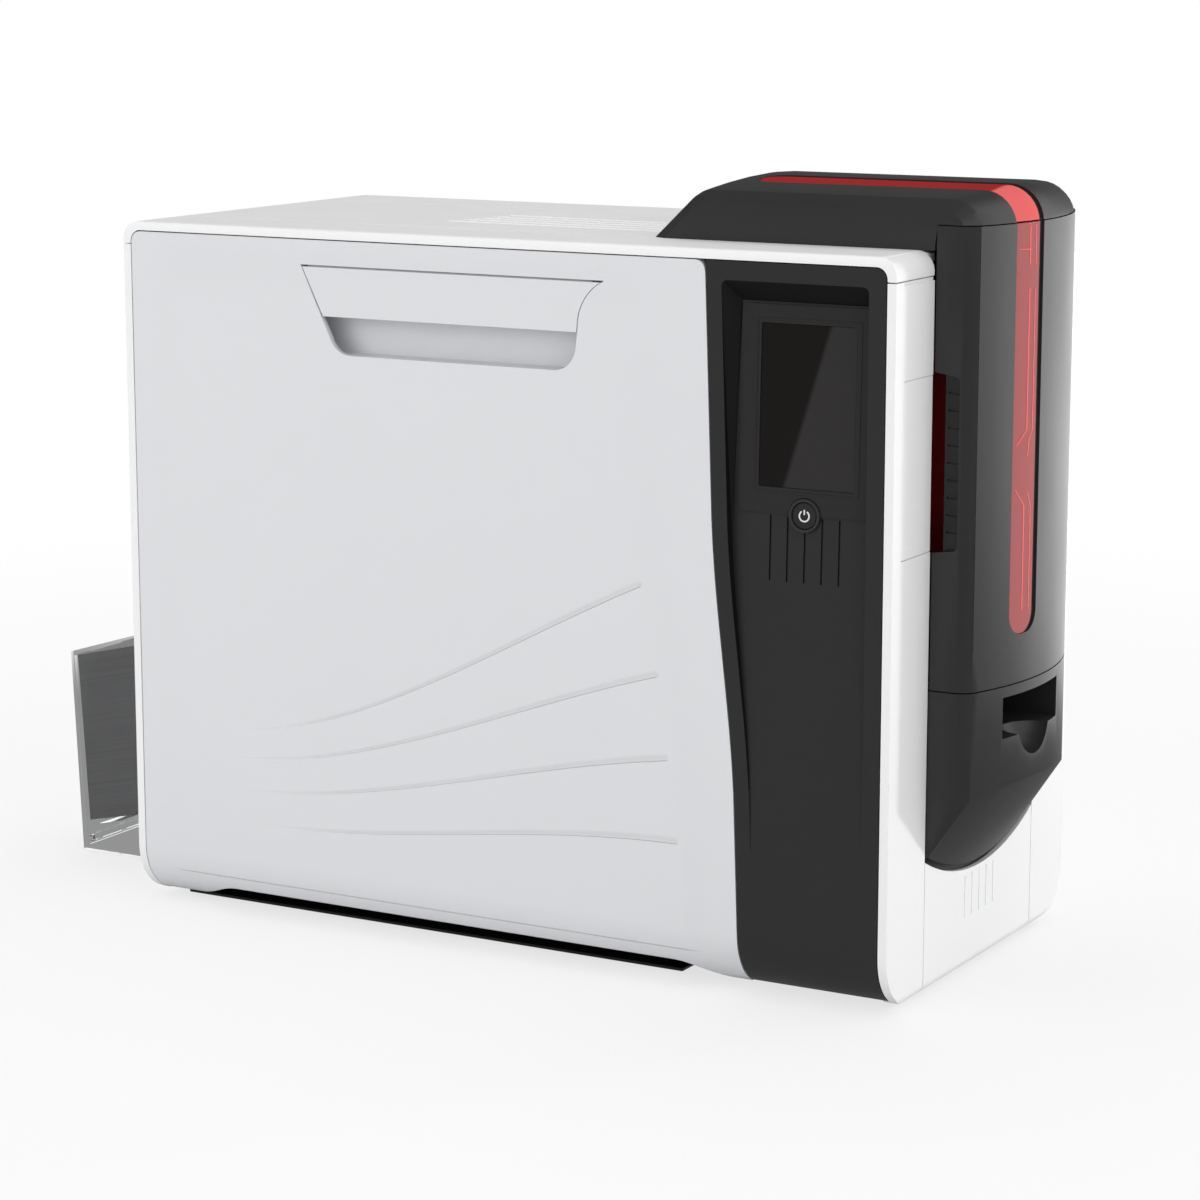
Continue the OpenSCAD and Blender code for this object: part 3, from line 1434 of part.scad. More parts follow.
module hopper_flap() place() color(clear) {
    bar_y(flap_pin[0], flap_pin[1], hopper_y[0] + 0.2, hopper_y[1] - 0.2, flap_pin_r);
    translate([flap_pin[0], 0, flap_pin[1]]) rotate([0, -flap_a, 0]) difference() {
        union() {
            block([-2.4 - flap_t, card_y - hopper_in_w / 2 + 0.5, -4],
                  [-2.4, card_y + hopper_in_w / 2 - 0.5, (hopper_h - flap_pin[1]) / cos(flap_a) - 2]);
            for (y = flap_ear_y)
                block([-2.4 - eps, y, -flap_pin_r], [0, y + 5, flap_pin_r]);
        }
        translate([-2.4, card_y, (hopper_h - flap_pin[1]) / cos(flap_a)]) rotate([0, 90, 0])
            cylinder(r = 14, h = 10, center = true);
    }
}

// The cards slope down the deck to the flap, so the stack leans with the flap
module finished_cards() place() color([0.45, 0.46, 0.48]) {
    run_x = card_l * cos(deck_a);
    out = flap_face[0] + deck_z * flap_face[1];
    low = deck_top(out) + 0.3;
    top = out + done_h * flap_face[1];
    along_y(card_y - card_w / 2, card_y + card_w / 2)
        polygon([[out, low], [out + run_x, low + run_x * tan(deck_a)],
                 [top + run_x, low + done_h + run_x * tan(deck_a)], [top, low + done_h]]);
}

screw_z = [shell_lift + 18, body_h - 25];
screw_places = [[-body_l + 23, screw_z[0]], [-body_l + 173, screw_z[0]], [-90, screw_z[0]],
                [-body_l + 23, screw_z[1]], [-body_l + 173, screw_z[1]], [-120, screw_z[1]]];

module frame_screws() place() color(steel)
    for (p = screw_places) {
        bar_y(p[0], p[1], plate_y - 2.4, plate_y, 3);
        bar_y(p[0], p[1], plate_y - eps, plate_y + plate_t + 2, 1.5);
    }

base_tray();
rubber_feet();
top_cover();
left_end_panel();
right_end_frame();
lower_end_panel();
rear_cover();
lock_cover();
control_fascia();
display_bezel();
display_glass();
button_ring();
power_button();
hood();
hood_window();
feeder_housing();
card_magazine();
blank_cards();
card_weight();
feeder_door();
feeder_window();
grip_insert();
feeder_hinge_pin();
front_door();
handle_paddle();
handle_pin();
door_hinge_rod();
chassis_plate();
transport_frame();
ink_ribbon();
transfer_film();
ribbon_supply_spool();
ribbon_takeup_spool();
film_supply_spool();
film_takeup_spool();
platen_roller();
transfer_roller();
printhead_arm();
thermal_printhead();
pick_roller();
drive_roller_1();
drive_roller_2();
drive_roller_3();
pinch_roller_1();
pinch_roller_2();
pinch_roller_3();
drive_motor();
motor_pulley();
timing_belt();
main_board();
power_supply();
fan_housing();
fan_rotor();
mains_inlet();
data_ports();
output_hopper();
hopper_flap();
finished_cards();
frame_screws();
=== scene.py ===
"""Finishes, soft edges and small pieces of a desktop card printer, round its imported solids.

Lengths are in metres. X runs from the output hopper to the feeder tower, the front faces -Y and
Z is up from the table.
"""

import json
import logging
import math
from collections.abc import Callable
from dataclasses import dataclass, field
from enum import Enum
from typing import ClassVar

import bmesh
import bpy
from mathutils import Matrix, Vector
from mathutils.bvhtree import BVHTree
from mathutils.geometry import intersect_point_line

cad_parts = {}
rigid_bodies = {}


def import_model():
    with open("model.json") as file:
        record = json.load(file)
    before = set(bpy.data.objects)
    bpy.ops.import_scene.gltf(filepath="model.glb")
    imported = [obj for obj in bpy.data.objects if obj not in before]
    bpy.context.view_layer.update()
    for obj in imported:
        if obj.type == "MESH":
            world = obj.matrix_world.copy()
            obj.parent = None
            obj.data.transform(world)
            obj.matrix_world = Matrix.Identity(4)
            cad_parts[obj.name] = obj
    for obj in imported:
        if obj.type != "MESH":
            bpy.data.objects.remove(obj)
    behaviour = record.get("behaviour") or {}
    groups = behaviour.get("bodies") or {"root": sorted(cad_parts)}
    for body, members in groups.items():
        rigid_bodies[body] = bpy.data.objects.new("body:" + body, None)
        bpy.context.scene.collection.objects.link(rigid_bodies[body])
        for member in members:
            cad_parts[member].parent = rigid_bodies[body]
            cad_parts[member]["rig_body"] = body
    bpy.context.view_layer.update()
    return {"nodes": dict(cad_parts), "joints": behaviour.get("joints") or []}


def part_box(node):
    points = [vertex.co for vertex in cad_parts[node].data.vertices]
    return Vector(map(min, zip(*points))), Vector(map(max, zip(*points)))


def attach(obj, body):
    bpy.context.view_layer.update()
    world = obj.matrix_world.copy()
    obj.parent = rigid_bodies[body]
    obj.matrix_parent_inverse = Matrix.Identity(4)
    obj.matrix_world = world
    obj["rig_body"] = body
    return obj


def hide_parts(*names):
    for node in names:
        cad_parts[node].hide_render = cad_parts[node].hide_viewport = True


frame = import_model()

LOG = logging.getLogger("card_printer")
MM = 0.001
# The right end face and the front face of the casing, from which places on the printer are given
END_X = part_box("right_end_frame")[1].x
FRONT_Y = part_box("front_door")[0].y

Triple = tuple[float, float, float]
Colour = Triple
# Stands a shape up from the table so that its top faces the front
UPRIGHT = Matrix.Rotation(math.pi / 2, 4, "X")


def grey(level: float) -> Colour:
    """A neutral linear colour."""
    return (level, level, level)


def rgba(colour: Colour) -> tuple[float, float, float, float]:
    """The colour with full alpha, as a socket takes it."""
    return (*colour, 1.0)


def spot(x: float, y: float, z: float) -> Vector:
    """A place on the printer, in millimetres from its right end face, its front face and the table."""
    return Vector((END_X + x * MM, FRONT_Y + y * MM, z * MM))


def add_object(name: str, content: bpy.types.ID) -> bpy.types.Object:
    """Adds an object to the scene.

    Args:
        name: its name.
        content: its mesh, lamp or camera.

    Returns:
        The new object.
    """
    made = bpy.data.objects.new(name, content)
    bpy.context.scene.collection.objects.link(made)
    return made


# ---- shader nodes ---------------------------------------------------------------------------

Socket = bpy.types.NodeSocket
Inputs = dict[str | int, object]
# The colour sockets of a Mix node, which share their names with its other sockets
MIX_FIRST, MIX_SECOND, MIX_RESULT = 6, 7, 2


class Sock(Enum):
    """Kinds of socket on a node group."""

    NUMBER = "NodeSocketFloat"
    COLOUR = "NodeSocketColor"
    VECTOR = "NodeSocketVector"


@dataclass
class TreeBuilder:
    """Adds nodes to a shader tree.

    What a method takes as an object is a socket, which is linked, or a plain value, which is set.
    """

    tree: bpy.types.NodeTree

    def node(self, kind: str, inputs: Inputs | None = None, **settings: object) -> bpy.types.Node:
        """Adds a node.

        Args:
            kind: the node's type.
            inputs: what its inputs take, by their names or places.
            settings: its properties.

        Returns:
            The new node.
        """
        made = self.tree.nodes.new(kind)
        for key, value in settings.items():
            setattr(made, key, value)
        self.feed(made, inputs or {})
        return made

    def feed(self, node: bpy.types.Node, inputs: Inputs) -> None:
        """Links or sets inputs of a node.

        Args:
            node: the node.
            inputs: what the inputs take, by their names or places.
        """
        for key, value in inputs.items():
            if isinstance(value, Socket):
                self.tree.links.new(value, node.inputs[key])
            else:
                node.inputs[key].default_value = value

    def math(self, operation: str, *values: object) -> Socket:
        """The result of a Math node on one or two values."""
        return self.node("ShaderNodeMath", dict(enumerate(values)), operation=operation).outputs[0]

    def polynomial(self, value: Socket, terms: tuple[object, ...]) -> Socket:
        """Works out a polynomial.

        Args:
            value: its variable.
            terms: its coefficients, from the constant upwards.

        Returns:
            The polynomial's value.
        """
        result = terms[-1]
        for term in reversed(terms[:-1]):
            result = self.math("ADD", self.math("MULTIPLY", result, value), term)
        return result

    def ramp(self, value: Socket, start: tuple[float, float],
             end: tuple[object, object] = (0.0, 1.0)) -> Socket:
        """A smooth change between end's two numbers while the value goes between start's two."""
        inputs = dict(zip(("Value", "From Min", "From Max", "To Min", "To Max"), (value, *start, *end)))
        return self.node("ShaderNodeMapRange", inputs, interpolation_type="SMOOTHSTEP").outputs[0]

    def parts(self, vector: Socket) -> bpy.types.bpy_prop_collection:
        """A vector's X, Y and Z."""
        return self.node("ShaderNodeSeparateXYZ", {0: vector}).outputs

    def mix(self, factor: Socket, first: Socket, second: Socket) -> Socket:
        """The first colour where the factor is 0 and the second where it is 1."""
        inputs = {"Factor": factor, MIX_FIRST: first, MIX_SECOND: second}
        return self.node("ShaderNodeMix", inputs, data_type="RGBA").outputs[MIX_RESULT]

    def blend(self, factor: Socket, first: Socket, second: Socket) -> Socket:
        """The first shader where the factor is 0 and the second where it is 1."""
        return self.node("ShaderNodeMixShader", {0: factor, 1: first, 2: second}).outputs[0]

    def white(self, kind: str, strength: object) -> Socket:
        """White light of a strength from a background or an emission."""
        return self.node(kind, {"Color": rgba(grey(1.0)), "Strength": strength}).outputs[0]

    def noise(self, vector: Socket, scale: object, detail: float = 3.0) -> Socket:
        """Noise from 0 to 1, with its scale in waves per metre and its detail in octaves."""
        inputs = {"Vector": vector, "Scale": scale, "Detail": detail}
        return self.node("ShaderNodeTexNoise", inputs).outputs[0]

    def around(self, value: Socket, middle: object, spread: object) -> Socket:
        """Noise moved to a middle with a spread: middle + (value - 0.5) * spread."""
        swing = self.math("MULTIPLY", self.math("SUBTRACT", value, 0.5), spread)
        return self.math("ADD", swing, middle)

    def stretch(self, vector: Socket, scale: Triple) -> Socket:
        """The vector scaled along its axes."""
        return self.node("ShaderNodeMapping", {"Vector": vector, "Scale": scale}).outputs[0]

    def tint(self, colour: Socket, factor: Socket) -> Socket:
        """The colour times a number."""
        inputs = {0: colour, "Scale": factor}
        return self.node("ShaderNodeVectorMath", inputs, operation="SCALE").outputs[0]


@dataclass
class GroupBuilder(TreeBuilder):
    """Builds one shader node group from its inputs to its outputs."""

    enter: bpy.types.bpy_prop_collection
    leave: bpy.types.Node

    def give(self, **results: Socket) -> bpy.types.NodeTree:
        """Links the results to the group's outputs and hands the finished group over."""
        self.feed(self.leave, results)
        return self.tree


SURFACE = {"Colour": Sock.COLOUR, "Roughness": Sock.NUMBER, "Height": Sock.NUMBER}
PLACED = {"Vector": Sock.VECTOR, "Colour": Sock.COLOUR}
GLOSSED = PLACED | {"Roughness": Sock.NUMBER}
MOULDED = GLOSSED | {"Tone Spread": Sock.NUMBER, "Grain Scale": Sock.NUMBER, "Roughness Spread": Sock.NUMBER}
WAVE = ("X", "Z", "Start", "Length", "A", "B", "C", "D")


def open_group(name: str, inputs: dict[str, Sock], outputs: dict[str, Sock] | None = None) -> GroupBuilder:
    """Starts a shader node group.

    Args:
        name: the group's name.
        inputs: the kinds of its inputs by name.
        outputs: the kinds of its outputs by name; those of a surface if left out.

    Returns:
        The group's builder.
    """
    tree = bpy.data.node_groups.new(name, "ShaderNodeTree")
    for direction, sockets in (("INPUT", inputs), ("OUTPUT", outputs or SURFACE)):
        for key, kind in sockets.items():
            tree.interface.new_socket(name=key, in_out=direction, socket_type=kind.value)
    enter = tree.nodes.new("NodeGroupInput")
    return GroupBuilder(tree, enter.outputs, tree.nodes.new("NodeGroupOutput"))


def moulded_skin_group() -> bpy.types.NodeTree:
    """Spark-textured plastic: fine grain, cloudy gloss and a faint unevenness of tone.

    Returns:
        The group.
    """
    b = open_group("moulded_skin", MOULDED)
    vector, spread = b.enter["Vector"], b.enter["Tone Spread"]
    cloud = b.noise(vector, scale=14.0, detail=2.0)
    grain = b.noise(vector, scale=b.enter["Grain Scale"], detail=2.0)
    tone = b.around(cloud, middle=1.0, spread=spread)
    fleck = b.around(grain, middle=1.0, spread=b.math("MULTIPLY", spread, 0.5))
    smear = b.noise(b.stretch(vector, (1.0, 1.0, 0.3)), scale=40.0, detail=4.0)
    rough = b.around(smear, middle=b.enter["Roughness"], spread=b.enter["Roughness Spread"])
    level = b.math("MULTIPLY", tone, fleck)
    return b.give(Colour=b.tint(b.enter["Colour"], level), Roughness=rough, Height=grain)


def drawn_metal_group() -> bpy.types.NodeTree:
    """Rolled or turned metal: long fine streaks in gloss and tone.

    Returns:
        The group.
    """
    b = open_group("drawn_metal", GLOSSED | {"Streak Scale": Sock.NUMBER})
    vector = b.enter["Vector"]
    streak = b.noise(b.stretch(vector, (0.06, 1.0, 1.0)), scale=b.enter["Streak Scale"], detail=4.0)
    patch = b.noise(vector, scale=25.0, detail=3.0)
    tone = b.around(streak, middle=1.0, spread=0.35)
    rough = b.around(streak, middle=b.enter["Roughness"], spread=0.16)
    rough = b.around(patch, middle=rough, spread=0.14)
    return b.give(Colour=b.tint(b.enter["Colour"], tone), Roughness=rough, Height=streak)


def card_edges_group() -> bpy.types.NodeTree:
    """Edges of stacked cards: one thin dark line between each card and the next.

    Returns:
        The group.
    """
    b = open_group("card_edges", PLACED | {"Pitch": Sock.NUMBER, "Slope": Sock.NUMBER})
    parts = b.parts(b.enter["Vector"])
    rise = b.math("SUBTRACT", parts["Z"], b.math("MULTIPLY", parts["X"], b.enter["Slope"]))
    card = b.math("DIVIDE", rise, b.enter["Pitch"])
    edge = b.math("ABSOLUTE", b.math("SUBTRACT", b.math("FRACT", card), 0.5))
    body = b.math("SUBTRACT", 1.0, b.math("POWER", b.math("MULTIPLY", edge, 2.0), 6.0))
    number = b.node("ShaderNodeCombineXYZ", {"Z": b.math("FLOOR", card)})
    shade = b.noise(number.outputs[0], scale=7.3, detail=0.0)
    dirt = b.noise(b.enter["Vector"], scale=60.0, detail=3.0)
    lines = b.around(body, middle=0.8, spread=0.55)
    level = b.math("MULTIPLY", b.around(shade, middle=1.0, spread=0.5), lines)
    level = b.math("MULTIPLY", level, b.around(dirt, middle=1.0, spread=0.15))
    rough = b.around(shade, middle=0.42, spread=0.2)
    return b.give(Colour=b.tint(b.enter["Colour"], level), Roughness=rough, Height=body)


def wound_film_group() -> bpy.types.NodeTree:
    """Film wound on a core: fine rings across its width with slight waves.

    Returns:
        The group.
    """
    b = open_group("wound_film", GLOSSED)
    rings = b.noise(b.stretch(b.enter["Vector"], (0.05, 1.0, 0.05)), scale=900.0, detail=2.0)
    waves = b.noise(b.enter["Vector"], scale=45.0, detail=2.0)
    tone = b.around(rings, middle=1.0, spread=0.5)
    rough = b.around(waves, middle=b.enter["Roughness"], spread=0.15)
    return b.give(Colour=b.tint(b.enter["Colour"], tone), Roughness=rough,
                  Height=b.math("ADD", rings, b.math("MULTIPLY", waves, 2.0)))


def board_tracks_group() -> bpy.types.NodeTree:
    """Solder mask over copper: paler tracks and pads in a regular net.

    Returns:
        The group.
    """
    b = open_group("board_tracks", PLACED | {"Track Colour": Sock.COLOUR})
    upright = (math.radians(90), 0.0, 0.0)
    turned = b.node("ShaderNodeMapping", {"Vector": b.enter["Vector"], "Rotation": upright})
    brick = b.node("ShaderNodeTexBrick", {"Vector": turned.outputs[0], "Scale": 120.0, "Mortar Size": 0.035})
    track = brick.outputs["Fac"]
    return b.give(Colour=b.mix(track, b.enter["Colour"], b.enter["Track Colour"]),
                  Roughness=b.around(track, middle=0.4, spread=0.2), Height=track)


def painted_light_group() -> bpy.types.NodeTree:
    """Two tones that meet along a slanting edge; the second is painted light, such as a painted reflection of
    a lamp on dark glass.

    Returns:
        The group.
    """
    b = open_group("two_tones", GLOSSED | {"Second Colour": Sock.COLOUR, "Edge": Sock.NUMBER,
                                           "Lean": Sock.NUMBER})
    soft = 1.5 * MM
    parts = b.parts(b.enter["Vector"])
    edge = b.polynomial(parts["Z"], (b.enter["Edge"], b.enter["Lean"]))
    side = b.ramp(b.math("SUBTRACT", parts["X"], edge), (-soft, soft))
    film = b.noise(b.enter["Vector"], scale=30.0, detail=3.0)
    return b.give(Colour=b.mix(side, b.enter["Colour"], b.enter["Second Colour"]),
                  Roughness=b.around(film, middle=b.enter["Roughness"], spread=0.03), Height=film)


@dataclass(frozen=True)
class Wave:
    """One wave in the front door: a cubic course over its length, in millimetres."""

    start: float
    length: float
    course: tuple[float, float, float, float]


@dataclass(frozen=True)
class DoorRelief:
    """Relief of the front door: a shallow field with four waves.

    Lengths are in millimetres from the casing's right end, its front and the table. A pair gives
    where the field starts and where it has its full depth. The field's right side runs between two
    courses, each a polynomial of the height in hundreds of millimetres.
    """

    depth: float = 1.6
    left: tuple[float, float] = (-413.0, -388.0)
    top: tuple[float, float] = (343.0, 318.0)
    outer: tuple[float, float] = (89.3, 3.4)
    step: float = -13.7
    step_rise: tuple[float, float] = (80.0, 250.0)
    inner: tuple[float, float, float, float] = (-106.2, 5.9, -13.77, 2.3)
    behind: tuple[float, float] = (2.5, 2.0)
    grain: float = 0.002
    waves: tuple[Wave, ...] = (
        Wave(-371.8, 243.7, (96.4, 4.7, 165.1, -74.3)),
        Wave(-375.2, 256.0, (82.4, -5.9, 140.6, -67.3)),
        Wave(-375.6, 261.8, (66.7, -11.1, 115.6, -61.0)),
        Wave(-369.8, 261.5, (50.7, -16.9, 93.6, -56.8)),
    )


def wave_group() -> bpy.types.NodeTree:
    """Depth of one wave: a step along a cubic course that fades out above it and towards its start.

    Returns:
        The group.
    """
    b = open_group("wave", dict.fromkeys(WAVE, Sock.NUMBER), {"Depth": Sock.NUMBER})
    along = b.math("DIVIDE", b.math("SUBTRACT", b.enter["X"], b.enter["Start"]), b.enter["Length"])
    course = b.polynomial(along, tuple(b.enter[name] for name in "ABCD"))
    above = b.math("SUBTRACT", b.enter["Z"], course)
    step = b.ramp(above, (-0.5, 0.1))
    fade = b.ramp(b.math("DIVIDE", above, b.polynomial(along, (1.0, 3.0))), (1.0, 0.0))
    ends = b.math("MULTIPLY", b.ramp(along, (0.0, 0.35)), b.ramp(along, (1.003, 0.994)))
    shape = b.math("MULTIPLY", b.math("MULTIPLY", step, b.math("POWER", fade, 1.5)), ends)
    return b.give(Depth=b.math("MULTIPLY", shape, b.polynomial(along, (0.3, 0.55))))


def door_skin_group(moulded: bpy.types.NodeTree, wave: bpy.types.NodeTree) -> bpy.types.NodeTree:
    """Skin of the front door: moulded plastic whose height, in millimetres, is the door's relief.

    Args:
        moulded: the plain moulded skin.
        wave: the depth of one wave.

    Returns:
        The group.
    """
    relief = DoorRelief()
    b = open_group("door_skin", MOULDED)
    skin = b.node("ShaderNodeGroup", node_tree=moulded)
    b.feed(skin, {name: b.enter[name] for name in MOULDED})
    parts = b.parts(b.enter["Vector"])
    x = b.math("SUBTRACT", b.math("DIVIDE", parts["X"], MM), END_X / MM)
    z = b.math("DIVIDE", parts["Z"], MM)
    height = b.math("MULTIPLY", z, 0.01)
    outer = b.math("SUBTRACT", b.math("MULTIPLY", b.ramp(z, relief.step_rise), relief.step),
                   b.polynomial(height, relief.outer))
    inner = b.polynomial(height, relief.inner)
    right = b.math("DIVIDE", b.math("SUBTRACT", outer, x), b.math("SUBTRACT", outer, inner))
    sides = b.math("MULTIPLY", b.ramp(right, (0.0, 1.0)), b.ramp(x, relief.left))
    depth = b.math("MULTIPLY", b.math("MULTIPLY", sides, b.ramp(z, relief.top)), relief.depth)
    for each in relief.waves:
        inputs = dict(zip(WAVE, (x, z, each.start, each.length, *each.course)))
        part = b.node("ShaderNodeGroup", node_tree=wave)
        b.feed(part, inputs)
        depth = b.math("ADD", depth, part.outputs["Depth"])
    behind = b.ramp(parts["Y"], tuple(FRONT_Y + y * MM for y in relief.behind))
    grain = b.math("MULTIPLY", skin.outputs["Height"], relief.grain)
    return b.give(Colour=skin.outputs["Colour"], Roughness=skin.outputs["Roughness"],
                  Height=b.math("SUBTRACT", grain, b.math("MULTIPLY", depth, behind)))


class Skin(Enum):
    """The node groups that the finishes choose from."""

    MOULDED = "moulded plastic"
    METAL = "drawn metal"
    CARDS = "card edges"
    FILM = "wound film"
    BOARD = "board tracks"
    # Glass whose second, paler tone is painted light
    TWO_TONES = "two tones"
    DOOR = "front door"


Skins = dict[Skin, bpy.types.NodeTree]


def build_skins() -> Skins:
    """Builds each node group once.

    Returns:
        The groups by the names that the finishes choose them by.
    """
    moulded = moulded_skin_group()
    return {
        Skin.MOULDED: moulded,
        Skin.METAL: drawn_metal_group(),
        Skin.CARDS: card_edges_group(),
        Skin.FILM: wound_film_group(),
        Skin.BOARD: board_tracks_group(),
        Skin.TWO_TONES: painted_light_group(),
        Skin.DOOR: door_skin_group(moulded, wave_group()),
    }


# ---- finishes -------------------------------------------------------------------------------


@dataclass(frozen=True)
class Finish:
    """What every finish has: a name, a record slot and the plain shader values.

    Plain values are set on the shader's own sockets. What changes over the surface comes from a
    node group, whose inputs take the fields of the same names.
    """

    name: str
    slot: str
    colour: Colour
    roughness: float = 0.45
    metallic: float = 0.0
    coat: float = 0.0
    coat_roughness: float = 0.1
    specular: float = 0.5
    transmission: float = 0.0
    ior: float = 1.47
    bump: float = 0.1
    bump_height: float = 0.00003
    skin: ClassVar[Skin]

    def value(self, name: str) -> object:
        """What an input of the node group takes, from the field of the same name."""
        value = vars(self)[name.lower().replace(" ", "_")]
        return rgba(value) if isinstance(value, tuple) else value

    def material(self, skins: Skins) -> bpy.types.Material:
        """Builds the material.

        Args:
            skins: the shared groups.

        Returns:
            The new material.
        """
        made = bpy.data.materials.new(self.name)
        made.use_nodes = True
        b = TreeBuilder(made.node_tree)
        skin = b.node("ShaderNodeGroup", node_tree=skins[self.skin])
        b.feed(skin, {key: self.value(key) for key in skin.inputs.keys() if key != "Vector"})
        b.feed(skin, {"Vector": b.node("ShaderNodeTexCoord").outputs["Object"]})
        relief = b.node("ShaderNodeBump", {"Strength": self.bump, "Distance": self.bump_height,
                                           "Height": skin.outputs["Height"]})
        b.feed(b.tree.nodes["Principled BSDF"], {
            "Base Color": skin.outputs["Colour"],
            "Metallic": self.metallic,
            "Roughness": skin.outputs["Roughness"],
            "IOR": self.ior,
            "Specular IOR Level": self.specular,
            "Transmission Weight": self.transmission,
            "Coat Weight": self.coat,
            "Coat Roughness": self.coat_roughness,
            "Normal": relief.outputs["Normal"],
        })
        made.diffuse_color = rgba(self.colour)
        return made


@dataclass(frozen=True)
class Moulded(Finish):
    """Moulded plastic or rubber with a spark texture."""

    skin: ClassVar[Skin] = Skin.MOULDED
    grain_scale: float = 2600.0
    tone_spread: float = 0.03
    roughness_spread: float = 0.08


@dataclass(frozen=True)
class DoorSkin(Moulded):
    """Moulded plastic with the relief of the front door."""

    skin: ClassVar[Skin] = Skin.DOOR
    bump: float = 1.0
    bump_height: float = MM


@dataclass(frozen=True)
class PaintedLightGlass(Finish):
    """Glass or clear plastic in two tones; the second, paler one is painted light and starts at an edge that
    may lean.

    The edge is given where it meets the table.
    """

    skin: ClassVar[Skin] = Skin.TWO_TONES
    # The defaults are the display's painted reflection: its paler tone, its edge and its lean.
    second_colour: Colour = (0.034, 0.032, 0.032)
    edge: float = END_X - 129.3 * MM
    lean: float = 0.298


@dataclass(frozen=True)
class Metal(Finish):
    """Rolled sheet or turned bar."""

    skin: ClassVar[Skin] = Skin.METAL
    metallic: float = 1.0
    streak_scale: float = 900.0


@dataclass(frozen=True)
class CardEdges(Finish):
    """A stack of cards seen from its sides."""

    skin: ClassVar[Skin] = Skin.CARDS
    pitch: float = 0.78 * MM
    slope: float = 0.0


@dataclass(frozen=True)
class WoundFilm(Finish):
    """Film or ribbon, wound or taut."""

    skin: ClassVar[Skin] = Skin.FILM


@dataclass(frozen=True)
class BoardTracks(Finish):
    """A circuit board under solder mask."""

    skin: ClassVar[Skin] = Skin.BOARD
    track_colour: Colour = (0.05, 0.3, 0.12)


DOOR_TONE = (0.74, 0.75, 0.77)
DECK_SLOPE = math.tan(math.radians(13))

CASING_WHITE = Moulded("casing_white", "casing_white", (0.9, 0.9, 0.905), roughness=0.38, tone_spread=0.012)
DOOR_GREY = DoorSkin("door_grey", "door_plastic", DOOR_TONE, roughness=0.46, tone_spread=0.012)
PADDLE_GREY = Moulded("paddle_grey", "door_plastic", DOOR_TONE, roughness=0.44, tone_spread=0.012)
CHARCOAL = Moulded("charcoal", "charcoal_plastic", grey(0.0235), roughness=0.42, tone_spread=0.12,
                   grain_scale=2200.0, bump=0.25, bump_height=0.00005)
CHARCOAL_FINE = Moulded("charcoal_fine", "charcoal_plastic", grey(0.021), roughness=0.4, tone_spread=0.1,
                        bump=0.12)
BLACK = Moulded("black_plastic", "black_plastic", grey(0.005), roughness=0.36, tone_spread=0.15)
RING_GREY = Moulded("ring_grey", "black_plastic", grey(0.03), roughness=0.3, tone_spread=0.1)
# The display glass: dark, with a paler right part that is a painted reflection of a lamp.
SCREEN = PaintedLightGlass("screen_glass", "display_glass", (0.0105, 0.0095, 0.009), roughness=0.06, specular=0.12,
                 bump=0.0)
SYMBOL = Moulded("symbol_white", "display_glass", grey(0.85), roughness=0.35)
RED_CLEAR = Moulded("red_clear", "red_clear", (0.41, 0.125, 0.125), roughness=0.45, roughness_spread=0.04,
                    specular=0.03, ior=1.49, bump=0.0, tone_spread=0.02)
# The hood window: dark red, with painted light on its front curve.
RED_PAINTED_HIGHLIGHT = PaintedLightGlass("red_two_tone", "red_clear", (0.34, 0.011, 0.014), roughness=0.45, specular=0.03,
                       bump=0.0, second_colour=(0.8, 0.14, 0.14), edge=END_X + 14.0 * MM, lean=0.0)
RED_RIB = Moulded("red_rib", "red_clear", (0.9, 0.11, 0.11), roughness=0.25, specular=0.2, tone_spread=0.04)
# Darker charcoal for the recess walls round the display: painted shade.
CHARCOAL_PAINTED_SHADE = Moulded("charcoal_deep", "charcoal_plastic", grey(0.008), roughness=0.5, specular=0.2,
                        bump=0.12, tone_spread=0.1)
RED_DARK = Moulded("red_dark", "red_plastic", (0.32, 0.012, 0.016), roughness=0.35, tone_spread=0.08)
CLEAR = Moulded("clear_moulding", "clear_plastic", (0.97, 0.975, 0.975), roughness=0.03,
                roughness_spread=0.03, transmission=1.0, ior=1.12, bump=0.0, tone_spread=0.01)
RUBBER = Moulded("rubber", "rubber", grey(0.018), roughness=0.75, grain_scale=1500.0, bump=0.35,
                 tone_spread=0.2)
SILICONE = Moulded("silicone", "silicone", (0.4, 0.06, 0.045), roughness=0.5, tone_spread=0.1)
STEEL = Metal("plated_steel", "steel", (0.6, 0.61, 0.63), roughness=0.34, bump=0.15)
CERAMIC = Moulded("ceramic", "ceramic", (0.62, 0.58, 0.48), roughness=0.22, coat=0.4)
PALE_CARDS = CardEdges("pale_cards", "card_pvc", (0.78, 0.78, 0.76), bump=0.5, bump_height=0.0002)
DARK_CARDS = CardEdges("dark_cards", "card_pvc", (0.11, 0.11, 0.112), slope=DECK_SLOPE, bump=0.5,
                       bump_height=0.0002)
RIBBON = WoundFilm("ribbon", "ribbon_film", (0.03, 0.02, 0.06), roughness=0.18, bump=0.3)
FILM = WoundFilm("film", "transfer_film", (0.55, 0.36, 0.12), roughness=0.16, bump=0.3)
BOARD = BoardTracks("circuit_board", "circuit_board", (0.02, 0.12, 0.05), bump=0.3, bump_height=0.00005)


# ---- working on pieces ------------------------------------------------------------------------

Mend = Callable[[bmesh.types.BMesh], None]
# Least angle of an edge that stays sharp in the shading
CREASE = math.radians(44.0)
# Least angle to an edge that carries a rounding on, and to one with which it makes a smooth run
CONTINUES = math.radians(140.0)
STRAIGHT = math.radians(110.0)
